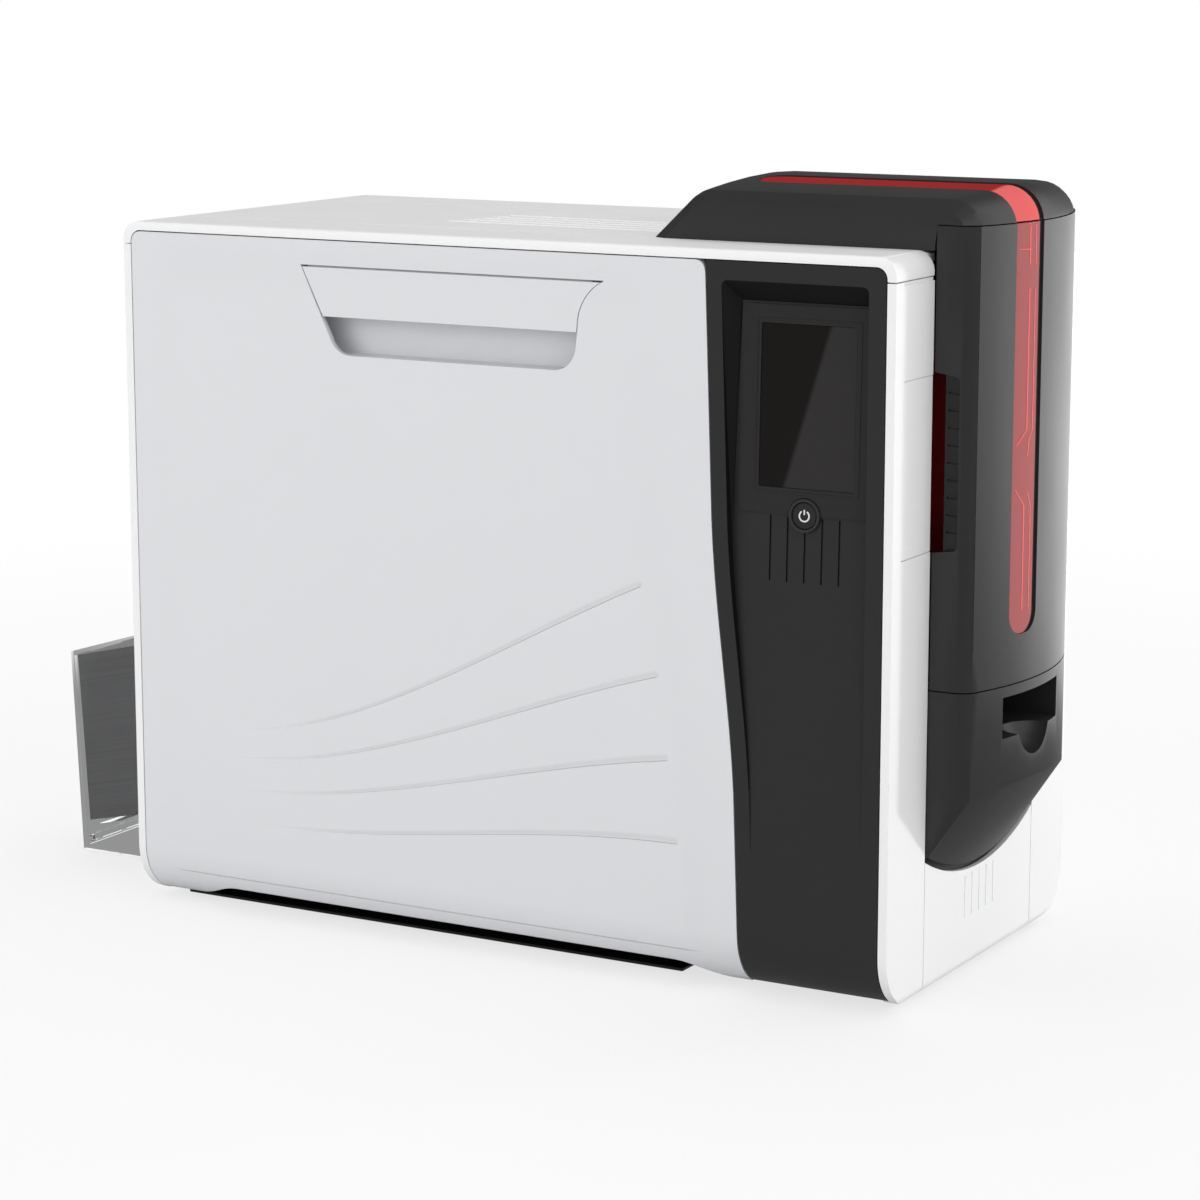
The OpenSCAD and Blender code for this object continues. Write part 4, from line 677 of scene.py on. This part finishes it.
# Widest angle off the inward way at which another edge is in a rounding's reach, and where it is tested
ACROSS = math.radians(60.0)
SAMPLES = (0.05, 0.5, 0.95)
# Room that a rounding asks for as a share of its width, and the least sine that a corner counts with
ROOM = 1.15
LEAST_SINE = 0.1
# Distances at which corners merge, in a CAD mesh and in a finished one, and the flattest kept edge
MERGE_CAD = 2e-6
MERGE_MADE = 1e-6
FLAT = math.radians(0.4)
# How much sharper than the roundings' least angle a crease in the shading is, in degrees
CREASE_MORE = 4.0
# Length of a strip's pieces, how far it stands off its surface and where it is dropped from
STRIP_STEP = 6.0
STRIP_PROUD = 0.12 * MM
STRIP_START = 60.0


def has_room(edge: bmesh.types.BMEdge, chosen: set[bmesh.types.BMEdge], radius: float) -> bool:
    """Tells whether a rounding fits beside an edge.

    Args:
        edge: the edge.
        chosen: all edges that are to be rounded.
        radius: the rounding's width.

    Returns:
        Whether each edge that bounds the rounding's sides is long enough for it.
    """
    for corner in edge.verts:
        away = edge.other_vert(corner).co - corner.co
        for face in edge.link_faces:
            side = next(e for e in corner.link_edges if e is not edge and face in e.link_faces)
            far = side.other_vert(corner)
            along = far.co - corner.co
            turn = away.angle(along, 0.0)
            if side in chosen and turn > CONTINUES:
                continue
            ends = 1 + any(e in chosen and face in e.link_faces for e in far.link_edges if e is not side)
            if along.length * max(math.sin(turn), LEAST_SINE) < ROOM * radius * ends:
                return False
    return all(is_wide(loop, chosen, radius) for loop in edge.link_loops)


def is_wide(loop: bmesh.types.BMLoop, chosen: set[bmesh.types.BMEdge], radius: float) -> bool:
    """Tells whether a face reaches far enough in from one of its edges for a rounding.

    Args:
        loop: the edge's place in the face.
        chosen: all edges that are to be rounded.
        radius: the rounding's width.

    Returns:
        Whether no other edge of the face lies within the rounding's reach.
    """
    start, end = loop.vert.co, loop.link_loop_next.vert.co
    inward = loop.face.normal.cross(end - start)
    for other in loop.face.edges:
        if loop.vert in other.verts or loop.link_loop_next.vert in other.verts:
            continue
        reach = ROOM * radius * (2 if other in chosen else 1)
        first, second = (v.co for v in other.verts)
        for share in SAMPLES:
            place = start.lerp(end, share)
            along = intersect_point_line(place, first, second)[1]
            gap = first.lerp(second, min(max(along, 0.0), 1.0)) - place
            if gap.length < reach and gap.angle(inward, math.pi) < ACROSS:
                return False
    return True


def stops_short(edge: bmesh.types.BMEdge, fit: set[bmesh.types.BMEdge],
                chosen: set[bmesh.types.BMEdge]) -> bool:
    """Tells whether a rounding would end in the middle of a smooth run of sharp edges.

    Args:
        edge: an edge that has room.
        fit: the edges that are still to be rounded.
        chosen: all sharp edges.

    Returns:
        Whether the run goes on over an edge that stays sharp.
    """
    for corner in edge.verts:
        away = edge.other_vert(corner).co - corner.co
        for other in corner.link_edges:
            if other is edge or other in fit or other not in chosen:
                continue
            if away.angle(other.other_vert(corner).co - corner.co, 0.0) > STRAIGHT:
                return True
    return False


def round_edges(work: bmesh.types.BMesh, radius: float, sharp: float) -> tuple[int, int]:
    """Rounds the sharp edges of a bmesh that have room for it.

    Args:
        work: the bmesh.
        radius: the rounding's width.
        sharp: least angle of an edge that is rounded.

    Returns:
        How many edges were rounded and how many were left.
    """
    chosen = {e for e in work.edges if len(e.link_faces) == 2 and e.calc_face_angle() > sharp}
    fit = {e for e in chosen if has_room(e, chosen, radius)}
    while short := {e for e in fit if stops_short(e, fit, chosen)}:
        fit -= short
    bmesh.ops.bevel(work, geom=list(fit), offset=radius, offset_type="OFFSET", segments=2, profile=0.5,
                    affect="EDGES", clamp_overlap=True, material=-1)
    return len(fit), len(chosen) - len(fit)


def lay_strip(work: bmesh.types.BMesh, under: BVHTree, points: tuple[tuple[float, float], ...],
              width: float) -> None:
    """Lays a flat strip on a surface that faces +X.

    Args:
        work: the bmesh that takes the strip.
        under: the surface.
        points: the strip's course in (y, z), in millimetres on the printer.
        width: its width in y or, where it runs level, in z, in millimetres.
    """
    steep = abs(points[-1][1] - points[0][1]) > abs(points[-1][0] - points[0][0])
    half = Vector((0.0, width / 2, 0.0)) if steep else Vector((0.0, 0.0, width / 2))
    fine = [points[0]]
    for (y0, z0), (y1, z1) in zip(points, points[1:]):
        pieces = max(1, round(math.hypot(y1 - y0, z1 - z0) / STRIP_STEP))
        fine += [(y0 + (y1 - y0) * i / pieces, z0 + (z1 - z0) * i / pieces) for i in range(1, pieces + 1)]
    strip = bmesh.ops.create_grid(work, x_segments=1, y_segments=len(fine) - 1, size=0.5)["verts"]
    for vert in strip:
        y, z = fine[round((vert.co.y + 0.5) * (len(fine) - 1))]
        side = math.copysign(1.0, vert.co.x)
        start = spot(STRIP_START, y + side * half.y, z + side * half.z)
        hit = under.ray_cast(start, Vector((-1.0, 0.0, 0.0)))[0]
        vert.co = hit + Vector((STRIP_PROUD, 0.0, 0.0))


@dataclass
class Workshop:
    """Builds materials once and dresses nodes and new pieces with them."""

    skins: Skins = field(default_factory=build_skins)
    made: dict[str, bpy.types.Material] = field(default_factory=dict)

    def material(self, finish: Finish) -> bpy.types.Material:
        """Builds the material of a finish at its first use.

        Args:
            finish: the finish.

        Returns:
            Its material.
        """
        if finish.name not in self.made:
            self.made[finish.name] = finish.material(self.skins)
        return self.made[finish.name]

    def paint(self, piece: bpy.types.Object, finish: Finish) -> None:
        """Gives a piece one finish."""
        piece.data.materials.clear()
        piece.data.materials.append(self.material(finish))

    def line(self, piece: bpy.types.Object, finish: Finish, inside: Callable[[Vector, Vector], bool]) -> None:
        """Gives some faces of a piece a second finish.

        Args:
            piece: a mesh object.
            finish: their finish.
            inside: tells from a face's middle and normal whether it takes the finish.
        """
        piece.data.materials.append(self.material(finish))
        slot = len(piece.data.materials) - 1
        for face in piece.data.polygons:
            if inside(face.center, face.normal):
                face.material_index = slot

    def dress(self, finish: Finish, *nodes: str) -> None:
        """Finishes CAD nodes as they are.

        Args:
            finish: their finish.
            nodes: the nodes' names.
        """
        for node in nodes:
            self.paint(frame["nodes"][node], finish)
            LOG.info("dressed %s in %s", node, finish.name)

    def soften(self, node: str, finish: Finish, radius_mm: float = 0.4, sharp: float = 35.0,
               mend: Mend | None = None) -> bpy.types.Object:
        """Stands a copy with rounded edges in for a CAD node.

        Args:
            node: the node's name.
            finish: the copy's finish.
            radius_mm: width of the rounding.
            sharp: least angle of an edge that is rounded, in degrees.
            mend: a change to the copy before its edges are rounded.

        Returns:
            The copy.
        """
        source = frame["nodes"][node]
        work = bmesh.new()
        work.from_mesh(source.data)
        bmesh.ops.remove_doubles(work, verts=work.verts, dist=MERGE_CAD)
        if mend is not None:
            mend(work)
        bmesh.ops.dissolve_limit(work, angle_limit=FLAT, verts=work.verts, edges=work.edges)
        rounded, left = round_edges(work, radius_mm * MM, math.radians(sharp))
        LOG.info("%s: %d edges rounded, %d left", node, rounded, left)
        crease = math.radians(sharp + CREASE_MORE)
        return self.build(node + "_soft", work, source["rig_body"], finish, node, crease)

    def build(self, name: str, work: bmesh.types.BMesh, body: str, finish: Finish, node: str = "",
              crease: float = CREASE) -> bpy.types.Object:
        """Turns a bmesh into a finished piece.

        Args:
            name: the piece's name.
            work: the bmesh, which is freed.
            body: the body that it rides on.
            finish: its finish.
            node: the CAD node that it replaces, if any.
            crease: least angle of an edge that stays sharp in the shading.

        Returns:
            The new object.
        """
        bmesh.ops.remove_doubles(work, verts=work.verts, dist=MERGE_MADE)
        bmesh.ops.recalc_face_normals(work, faces=work.faces)
        for face in work.faces:
            face.smooth = True
        for edge in work.edges:
            edge.smooth = len(edge.link_faces) == 2 and edge.calc_face_angle() < crease
        mesh = bpy.data.meshes.new(name)
        work.to_mesh(mesh)
        work.free()
        piece = add_object(name, mesh)
        even = piece.modifiers.new("even", "WEIGHTED_NORMAL")
        even.keep_sharp = True
        self.paint(piece, finish)
        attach(piece, body)
        if node:
            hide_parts(node)
        LOG.info("built %s in %s", name, finish.name)
        return piece


# ---- studio -----------------------------------------------------------------------------------


@dataclass(frozen=True)
class Lamp:
    """A soft square lamp: where it stands and aims, its edge, its power and whether gloss shows it."""

    name: str
    place: Triple
    aim: Triple
    size: float
    watts: float
    mirrored: bool = False

    def hang(self) -> None:
        """Adds the lamp to the scene."""
        light = bpy.data.lights.new(self.name, "AREA")
        light.size = self.size
        light.energy = self.watts
        made = add_object(self.name, light)
        made.location = self.place
        made.rotation_euler = (Vector(self.aim) - Vector(self.place)).to_track_quat("-Z", "Y").to_euler()
        made.visible_glossy = self.mirrored


@dataclass
class Studio:
    """Camera, lamps, world and floor.

    The low lamp behind the tower throws the tower's shadow on the casing's end. What glossy
    surfaces see of the world and the floor grows towards the far right.
    """

    eye: Triple = (0.8863, -1.5059, 0.48864)
    yaw: float = 29.479
    pitch: float = 10.741
    lens: float = 104.87
    sensor: float = 36.0
    shift_x: float = -0.0034
    far_end: float = 50.0
    lamps: tuple[Lamp, ...] = (
        Lamp("key", (2.2, -0.9, 1.5), (0.2, 0.0, 0.2), 1.6, 12.0, mirrored=True),
        Lamp("front", (-1.4, -2.4, 1.0), (0.0, 0.0, 0.18), 2.0, 23.0),
        Lamp("top", (0.0, 0.4, 2.4), (0.0, 0.0, 0.3), 1.8, 14.0),
        Lamp("low", (1.51, 2.13, 0.16), (0.25, 0.0, 0.16), 0.16, 30.0),
    )
    ambient: float = 0.62
    floor_size: float = 12.0
    floor_drop: float = 0.2 * MM
    floor_level: float = 0.86
    glow: float = 0.72
    fade: tuple[float, float] = (0.35, 1.3)

    def camera(self) -> None:
        """Sets the camera at the photograph's view."""
        lens = bpy.data.cameras.new("camera")
        lens.lens = self.lens
        lens.sensor_width = self.sensor
        lens.shift_x = self.shift_x
        lens.clip_end = self.far_end
        made = add_object("camera", lens)
        made.location = self.eye
        made.rotation_euler = (math.radians(90.0 - self.pitch), 0.0, math.radians(self.yaw))
        bpy.context.scene.camera = made

    def world(self) -> None:
        """Lights the object evenly and shows white to the camera and through clear plastic."""
        made = bpy.data.worlds.new("world")
        bpy.context.scene.world = made
        made.use_nodes = True
        b = TreeBuilder(made.node_tree)
        parts = b.parts(b.node("ShaderNodeTexCoord").outputs["Generated"])
        far = b.ramp(parts["Y"], (-0.3, 0.6), (0.3, 1.8))
        strength = b.ramp(parts["X"], (0.05, 0.55), (0.16, far))
        path = b.node("ShaderNodeLightPath").outputs
        plain = b.white("ShaderNodeBackground", self.ambient)
        lit = b.blend(path["Is Glossy Ray"], plain, b.white("ShaderNodeBackground", strength))
        seen = b.math("MAXIMUM", path["Is Camera Ray"], path["Is Transmission Ray"])
        shown = b.blend(seen, lit, b.white("ShaderNodeBackground", 1.0))
        b.feed(b.tree.nodes["World Output"], {"Surface": shown})

    def floor(self) -> None:
        """Lays a pale floor that fades to white and keeps the shadow."""
        work = bmesh.new()
        bmesh.ops.create_grid(work, x_segments=1, y_segments=1, size=self.floor_size / 2)
        bmesh.ops.translate(work, verts=work.verts, vec=(0.0, 0.0, -self.floor_drop))
        mesh = bpy.data.meshes.new("floor")
        work.to_mesh(mesh)
        work.free()
        add_object("floor", mesh)
        mesh.materials.append(self.floor_paint())

    def floor_paint(self) -> bpy.types.Material:
        """The floor's material, which the camera and glossy surfaces see in their own ways.

        Returns:
            The new material.
        """
        paint = bpy.data.materials.new("floor")
        paint.use_nodes = True
        b = TreeBuilder(paint.node_tree)
        shader = b.tree.nodes["Principled BSDF"]
        b.feed(shader, {"Base Color": rgba(grey(self.floor_level)), "Roughness": 0.9,
                        "Specular IOR Level": 0.1})
        where = b.node("ShaderNodeTexCoord").outputs["Object"]
        reach = b.node("ShaderNodeVectorMath", {0: where}, operation="LENGTH")
        path = b.node("ShaderNodeLightPath").outputs
        share = b.ramp(reach.outputs["Value"], self.fade, (self.glow, 1.0))
        share = b.math("MULTIPLY", path["Is Camera Ray"], share)
        seen = b.blend(share, shader.outputs[0], b.white("ShaderNodeEmission", 1.0))
        gloss = b.ramp(b.parts(where)["Y"], (0.35, 0.9), (0.3, 2.8))
        shown = b.blend(path["Is Glossy Ray"], seen, b.white("ShaderNodeEmission", gloss))
        b.feed(b.tree.nodes["Material Output"], {"Surface": shown})
        return paint

    def set_up(self) -> None:
        """Builds the whole studio."""
        self.camera()
        for lamp in self.lamps:
            lamp.hang()
        self.world()
        self.floor()
        bpy.context.scene.view_settings.view_transform = "Standard"


# ---- sub-assemblies -----------------------------------------------------------------------------


@dataclass
class Casing:
    """White panels, base tray and feet."""

    shop: Workshop
    edge_mm: float = 0.45
    panels: tuple[str, ...] = ("top_cover", "left_end_panel", "right_end_frame", "lower_end_panel",
                               "rear_cover", "lock_cover")

    def build(self) -> None:
        """Dresses the casing."""
        for panel in self.panels:
            self.shop.soften(panel, CASING_WHITE, self.edge_mm)
        self.shop.soften("base_tray", BLACK, 0.3)
        self.shop.dress(RUBBER, "rubber_feet")


@dataclass
class FrontDoor:
    """The drop-down door, its handle and its hinges."""

    shop: Workshop
    wave_low: Vector = field(default_factory=lambda: spot(-365.0, -0.2, 40.0))
    wave_high: Vector = field(default_factory=lambda: spot(-100.0, 0.95, 196.0))
    floor_depth: float = 0.5 * MM

    def smooth_face(self, work: bmesh.types.BMesh) -> None:
        """Closes the solid's square wave grooves, whose softer form the door's skin draws.

        Args:
            work: the door's bmesh.
        """
        low, high = self.wave_low, self.wave_high
        inside = [f for f in work.faces
                  if all(low.x < v.co.x < high.x and low.y < v.co.y < high.y and low.z < v.co.z < high.z
                         for v in f.verts) and any(v.co.y > FRONT_Y + self.floor_depth for v in f.verts)]
        bmesh.ops.delete(work, geom=inside, context="FACES")
        bmesh.ops.holes_fill(work, edges=[e for e in work.edges if e.is_boundary], sides=0)

    def build(self) -> None:
        """Dresses the door and the handle."""
        self.shop.soften("front_door", DOOR_GREY, 0.5, mend=self.smooth_face)
        self.shop.soften("handle_paddle", PADDLE_GREY, 0.4)
        self.shop.dress(STEEL, "handle_pin", "door_hinge_rod")


@dataclass
class ControlPanel:
    """Charcoal fascia with the display, the power button and its symbol.

    Faces in the recess's box take a darker charcoal as painted shade, unless they face the front by face_on
    or more.
    """

    shop: Workshop
    recess_low: Vector = field(default_factory=lambda: spot(-94.0, 0.5, 30.0))
    recess_high: Vector = field(default_factory=lambda: spot(-8.0, 14.0, 338.0))
    face_on: float = 0.9
    arc_r: float = 2.45 * MM
    arc_steps: int = 28
    line_r: float = 0.38 * MM
    line_sides: int = 8
    gap_deg: float = 34.0
    bar_length: float = 2.3 * MM
    bar_middle: float = 1.75 * MM
    face_back: float = 0.35 * MM
    proud: float = 0.1 * MM
    rim_w: float = 1.0 * MM
    rim_r: float = 1.6 * MM
    rim_t: float = 0.5 * MM
    rim_front: float = 0.6 * MM

    def build(self) -> None:
        """Dresses the fascia and adds the display's rim and the button's symbol."""
        fascia = self.shop.soften("control_fascia", CHARCOAL, 0.6)
        # The recess walls round the display take darker charcoal as painted shade
        self.shop.line(fascia, CHARCOAL_PAINTED_SHADE, self.takes_painted_shade)
        self.shop.soften("display_bezel", CHARCOAL_FINE, 0.5)
        # The display glass carries a painted reflection
        self.shop.dress(SCREEN, "display_glass")
        self.shop.soften("button_ring", RING_GREY, 0.5)
        self.shop.soften("power_button", CHARCOAL_FINE, 0.35)
        self.symbol()
        self.rim()

    def takes_painted_shade(self, middle: Vector, normal: Vector) -> bool:
        """Tells whether a face is one of the walls round the display's recess, which take painted shade."""
        inside = all(a < m < b for a, m, b in zip(self.recess_low, middle, self.recess_high))
        return inside and abs(normal.y) < self.face_on

    def rim(self) -> None:
        """Frames the display with a thin rounded rim that stands just proud of the bezel."""
        low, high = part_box("display_glass")
        work = bmesh.new()
        bmesh.ops.create_grid(work, x_segments=1, y_segments=1, size=0.5)
        bmesh.ops.scale(work, vec=(high.x - low.x + 2 * self.rim_w, high.z - low.z + 2 * self.rim_w, 1.0),
                        verts=work.verts)
        bmesh.ops.bevel(work, geom=work.verts[:], offset=self.rim_r, offset_type="OFFSET", segments=5,
                        profile=0.5, affect="VERTICES", material=-1)
        bmesh.ops.inset_region(work, faces=work.faces[:], thickness=self.rim_w, use_even_offset=True,
                               use_boundary=True)
        middle = max(work.faces, key=lambda f: f.calc_area())
        bmesh.ops.delete(work, geom=[middle], context="FACES")
        bmesh.ops.solidify(work, geom=work.faces[:], thickness=self.rim_t)
        bmesh.ops.recalc_face_normals(work, faces=work.faces)
        edges = [e for e in work.edges if len(e.link_faces) == 2 and e.calc_face_angle() > math.radians(60)]
        bmesh.ops.bevel(work, geom=edges, offset=self.rim_t * 0.3, offset_type="OFFSET", segments=2,
                        profile=0.5, affect="EDGES", clamp_overlap=True, material=-1)
        centre = (low + high) / 2
        front = low.y + (centre.z - low.z) * math.tan(self.tilt()) - self.rim_front
        stand = Matrix.Translation((centre.x, front, centre.z)) @ Matrix.Rotation(
            math.pi / 2 - self.tilt(), 4, "X")
        bmesh.ops.transform(work, matrix=stand, verts=work.verts)
        self.shop.build("display_rim", work, "root", CHARCOAL_FINE)

    def tilt(self) -> float:
        """How far the button's face leans back, from the slide's axis, in radians."""
        axis = next(joint["axis"] for joint in frame["joints"] if joint["name"] == "power_button_press")
        return math.atan2(-axis[2], axis[1])

    def symbol(self) -> None:
        """Makes the generic power symbol: an open ring and a bar, laid in the button's face."""
        low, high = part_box("power_button")
        middle = (low + high) / 2
        work = bmesh.new()
        span = 2 * math.pi - 2 * math.radians(self.gap_deg)
        first = bmesh.ops.create_circle(work, segments=self.line_sides, radius=self.line_r)["verts"]
        start = math.pi / 2 + math.radians(self.gap_deg)
        place = Matrix.Rotation(start, 4, "Z") @ Matrix.Translation((self.arc_r, 0.0, 0.0)) @ UPRIGHT
        bmesh.ops.transform(work, matrix=place, verts=first)
        bmesh.ops.spin(work, geom=work.verts[:] + work.edges[:], cent=(0, 0, 0), axis=(0, 0, 1), angle=span,
                       steps=self.arc_steps, use_merge=False)
        bar = bmesh.ops.create_cone(work, cap_ends=True, segments=self.line_sides, radius1=self.line_r,
                                    radius2=self.line_r, depth=self.bar_length)["verts"]
        place = Matrix.Translation((0.0, self.bar_middle, 0.0)) @ UPRIGHT
        bmesh.ops.transform(work, matrix=place, verts=bar)
        bmesh.ops.holes_fill(work, edges=[e for e in work.edges if e.is_boundary], sides=self.line_sides)
        centre = Matrix.Translation((middle.x, low.y + self.face_back - self.proud, middle.z))
        stand = centre @ Matrix.Rotation(-self.tilt(), 4, "X") @ UPRIGHT
        bmesh.ops.transform(work, matrix=stand, verts=work.verts)
        self.shop.build("power_symbol", work, "power_button", SYMBOL)


@dataclass(frozen=True)
class Rib:
    """One rib of the level window: its width and its course in (y, z), in millimetres."""

    width: float
    course: tuple[tuple[float, float], ...]


@dataclass
class FeederTower:
    """Card feeder at the right end: housing, door, hood, windows and the magazine inside."""

    shop: Workshop
    ribs: tuple[Rib, ...] = (
        Rib(0.9, ((80.6, 360.0), (80.8, 342.0))),
        Rib(0.7, ((85.7, 360.0), (86.0, 342.0))),
        Rib(0.4, ((71.5, 349.6), (82.4, 349.0))),
        Rib(0.9, ((80.9, 331.5), (80.9, 266.0))),
        Rib(0.7, ((86.0, 331.0), (86.0, 266.0), (83.0, 260.5), (82.2, 253.6))),
        Rib(0.8, ((80.9, 266.0), (72.5, 259.5))),
        Rib(0.8, ((72.5, 239.0), (79.5, 231.5))),
        Rib(0.9, ((79.8, 231.5), (80.0, 182.0))),
        Rib(0.7, ((82.6, 237.7), (85.7, 230.2), (85.9, 182.0))),
    )
    scoop: Vector = field(default_factory=lambda: spot(31.0, 96.0, 128.0))
    scoop_r: float = 17.0 * MM
    scoop_slack: float = 0.3 * MM
    slot_top: float = 142.6 * MM

    def level_slot(self, work: bmesh.types.BMesh) -> None:
        """Draws the thumb scoop's crown down to the slot's upper edge.

        Args:
            work: the housing's bmesh.
        """
        above = [v for v in work.verts if v.co.z > self.slot_top]
        crown = [v for v in above if abs((v.co - self.scoop).length - self.scoop_r) < self.scoop_slack]
        for vert in crown:
            vert.co.z = self.slot_top
        bmesh.ops.dissolve_degenerate(work, dist=MERGE_CAD, edges=work.edges)
        LOG.info("slot levelled at %d corners", len(crown))

    def marks(self) -> None:
        """Lays the bright ribs that show through the level window on its face."""
        window = frame["nodes"]["feeder_window"]
        shape = bmesh.new()
        shape.from_mesh(window.data)
        shape.transform(window.matrix_world)
        under = BVHTree.FromBMesh(shape)
        shape.free()
        work = bmesh.new()
        for rib in self.ribs:
            lay_strip(work, under, rib.course, rib.width)
        self.shop.build("level_ribs", work, window["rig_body"], RED_RIB)

    def build(self) -> None:
        """Dresses the tower."""
        self.shop.soften("hood", CHARCOAL, 0.8, 20.0)
        self.shop.soften("feeder_door", CHARCOAL, 0.5)
        self.shop.soften("feeder_housing", CHARCOAL, 0.6, mend=self.level_slot)
        # The hood window's front curve carries painted light
        self.shop.soften("hood_window", RED_PAINTED_HIGHLIGHT, 0.15)
        self.shop.soften("feeder_window", RED_CLEAR, 0.15)
        self.marks()
        self.shop.soften("grip_insert", BLACK, 0.2)
        self.shop.dress(STEEL, "feeder_hinge_pin")
        self.shop.dress(RED_DARK, "card_magazine")
        self.shop.dress(PALE_CARDS, "blank_cards")
        self.shop.soften("card_weight", CHARCOAL_FINE, 0.4)
        self.shop.dress(RUBBER, "pick_roller")


@dataclass
class Mechanism:
    """Chassis, card transport, film and ribbon drives and the printhead."""

    shop: Workshop

    def build(self) -> None:
        """Dresses the mechanism."""
        dress = self.shop.dress
        dress(STEEL, "chassis_plate", "printhead_arm", "motor_pulley", "power_supply", "frame_screws")
        dress(CHARCOAL_FINE, "transport_frame")
        dress(RUBBER, "platen_roller", "drive_roller_1", "drive_roller_2", "drive_roller_3",
              "pinch_roller_1", "pinch_roller_2", "pinch_roller_3", "timing_belt")
        dress(SILICONE, "transfer_roller")
        dress(CERAMIC, "thermal_printhead")
        dress(RIBBON, "ink_ribbon", "ribbon_supply_spool", "ribbon_takeup_spool")
        dress(FILM, "transfer_film", "film_supply_spool", "film_takeup_spool")
        dress(BLACK, "drive_motor")
        dress(BOARD, "main_board")


@dataclass
class RearServices:
    """Fan and sockets at the back."""

    shop: Workshop

    def build(self) -> None:
        """Dresses the fan and the sockets."""
        self.shop.dress(BLACK, "fan_housing", "fan_rotor")
        self.shop.soften("mains_inlet", BLACK, 0.3)
        self.shop.dress(STEEL, "data_ports")


@dataclass
class OutputHopper:
    """Clear hopper with its flap and the finished cards."""

    shop: Workshop

    def build(self) -> None:
        """Dresses the hopper."""
        self.shop.soften("output_hopper", CLEAR, 0.3)
        self.shop.soften("hopper_flap", CLEAR, 0.3)
        self.shop.dress(DARK_CARDS, "finished_cards")


def main() -> None:
    """Builds the studio and each sub-assembly in order."""
    logging.basicConfig(level=logging.INFO, format="%(name)s: %(message)s")
    Studio().set_up()
    shop = Workshop()
    for part in (Casing(shop), FrontDoor(shop), ControlPanel(shop), FeederTower(shop), Mechanism(shop),
                 RearServices(shop), OutputHopper(shop)):
        part.build()
        LOG.info("%s done", type(part).__name__)


if __name__ == "__main__":
    main()
